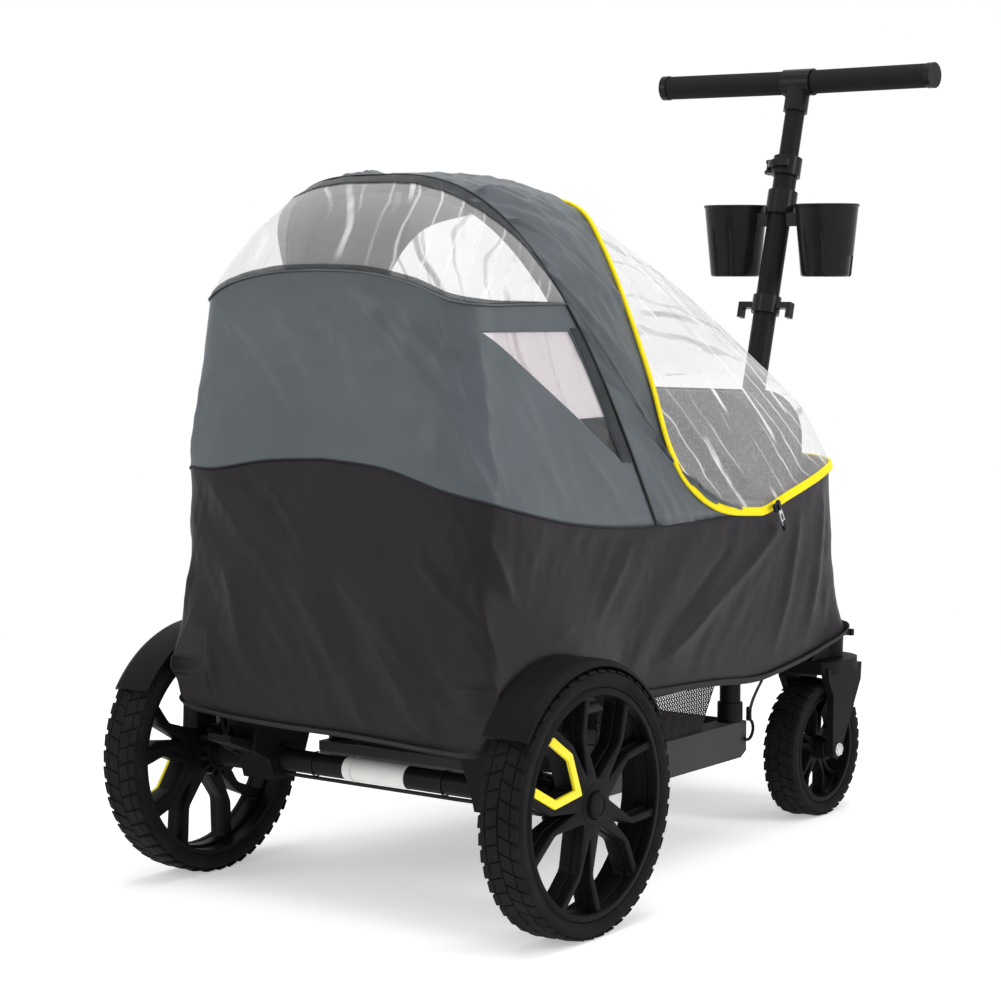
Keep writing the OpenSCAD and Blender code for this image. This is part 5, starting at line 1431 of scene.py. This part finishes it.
def cup_radius(height, turn, side):
    """Outer radius at a height (0 to 1) and an angle from +X towards the outer side."""
    radius = 0.0368 + (0.0468 - 0.0368) * height
    near = np.minimum(np.abs((turn + 180) % 360 - 180), np.abs(turn % 360 - 180))
    flute = np.clip((21 - near) / 3.0, 0, 1)
    depth = np.clip((0.70 - height) / 0.3, 0, 1) ** 0.7
    radius = radius - 0.0036 * flute * depth
    pad = np.abs((turn - 90 + 180) % 360 - 180) < 34
    radius = radius - 0.0030 * (pad & (height < 0.29))
    return radius


for label, side in SIDES:
    turns = np.linspace(0, 360, 180, endpoint=False)
    levels = [0.0, 0.012, 0.03] + list(np.linspace(0.06, 0.27, 8)) + [0.284, 0.2895, 0.2905, 0.30] + list(
        np.linspace(0.33, 0.93, 24)) + [0.955]
    loops = []

    def ring(radius, height):
        a = np.radians(turns)
        return np.stack([cup_x + radius * np.cos(a), side * (CUP_Y + radius * np.sin(a)),
                         np.full(len(a), CUP_FOOT + height * CUP_TALL)], axis=1)

    loops.append(ring(np.full(180, 0.001), 0.0))
    loops.append(ring(cup_radius(0.0, turns, side) - 0.0028, 0.0))
    for level in levels[1:]:
        loops.append(ring(cup_radius(level, turns, side) - (0.0008 if level < 0.02 else 0), level))
    for radius, level in ((0.0474, 0.962), (0.0478, 0.972), (0.0478, 0.992), (0.0472, 1.0),
                          (0.0452, 1.0), (0.0446, 0.992)):
        loops.append(ring(np.full(180, radius), level))
    for level in np.linspace(0.93, 0.06, 12):
        loops.append(ring(cup_radius(level, turns, side) - 0.0024, level))
    loops.append(ring(cup_radius(0.05, turns, side) - 0.006, 0.04))
    loops.append(ring(np.full(180, 0.001), 0.038))
    cup = loop_piece("cup_holder_" + label, loops, gloss_moulding, "handle")
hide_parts("cup_holders")

# ---------------------------------------------------------------- grips
# Dense foam sleeves, a little pinched where they meet the joint, with moulded end caps.
grip_foam = finish_of("grip_foam", (0.013, 0.013, 0.0145), 0.78, vary=0.12, patch=40, grain=1800,
                      bump=0.35, depth=0.0005)
GRIP_LEN = 0.230 - 0.024 - 0.010
for label, side in SIDES:
    joint = HANDLE @ Matrix.Translation((0, 0, 0.805)) @ Matrix.Rotation(-LEAN, 4, "Y")
    base = joint @ Matrix.Translation((0, side * 0.024, 0)) @ Matrix.Rotation(radians(side * -90), 4, "X")
    base = base @ Matrix.Rotation(radians(-4), 4, "Y")
    length = GRIP_LEN * 1000
    profile = [[11, 1.6], [16.4, 1.6], [17.2, 3]] + [[17.45, z] for z in np.linspace(6, length - 6, 12)]
    profile += [[17.2, length - 1.5], [16.6, length - 0.3], [11, length - 0.3]]
    points, faces = lathe(profile, 64)
    sleeve = placed(new_piece("grip_sleeve_" + label, points, faces, grip_foam, None), base)
    fix_normals(sleeve)
    soft_edges(sleeve)
    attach(sleeve, "handle_upper")
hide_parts("grips")

# ---------------------------------------------------------------- zip sliders
# A die-cast slider sits on the zip at each lower corner of the clear window. Its body is black,
# and a plated tab with a moulded grip hangs from it.
slider_low, slider_high = (np.array(c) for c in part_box("zip_sliders"))
tab_steel = finish_of("tab_steel", (0.5, 0.5, 0.52), 0.35, vary=0.3, patch=90, grain=600, bump=0.1,
                      Metallic=0.4)


def slider_plate(name, outlines, low, high, material, side):
    """A small plate of the slider; its outline hangs down and leans forward by 30 degrees."""
    place = axle_frame(((slider_low[0] + slider_high[0]) / 2, side * (slider_high[1] + 0.0005),
                        slider_high[2] - 0.005), side)
    turned = [turned_2d(np.array(o) * SLIDER_SCALE, 30) * [1, -side] for o in outlines]
    return filled(name + ("left" if side > 0 else "right"), turned, low, high, 0.5, material, place,
                  "root")


SLIDER_BODY = [[-6.2, 4.6], [-3, 5.4], [0, 3.6], [3, 5.4], [6.2, 4.6], [5.6, -3.4], [3.4, -5.4],
               [-3.4, -5.4], [-5.6, -3.4]]
SLIDER_BRIDGE = [[-1.6, 4.0], [1.6, 4.0], [1.6, -4.4], [-1.6, -4.4]]
SLIDER_TAB = [[-2.2, -3.2], [2.2, -3.2], [3.2, -7], [3.2, -22], [2.0, -24.5], [-2.0, -24.5], [-3.2, -22],
              [-3.2, -7]]
TAB_HOLE = [[-1.8, -9], [1.8, -9], [1.8, -17], [-1.8, -17]]
SLIDER_SCALE = 1.25             # the outlines above and below are drawn at four fifths of their size
TAB_GRIP = [[-2.7, -18], [2.7, -18], [3.1, -29], [-3.1, -29]]
for label, side in SIDES:
    slider = slider_plate("zip_slider_", [rounded(SLIDER_BODY, 1.4)], -1.6, 2.6, gloss_moulding, side)
    slider_plate("zip_bridge_", [rounded(SLIDER_BRIDGE, 0.8)], 2.0, 5.0, gloss_moulding, side)
    slider_plate("zip_tab_", [rounded(SLIDER_TAB, 1.6), rounded(TAB_HOLE, 1.2)], 2.6, 4.2, tab_steel,
                 side)
    slider_plate("zip_tab_grip_", [rounded(TAB_GRIP, 1.4)], 1.2, 5.0, gloss_moulding, side)
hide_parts("zip_sliders")
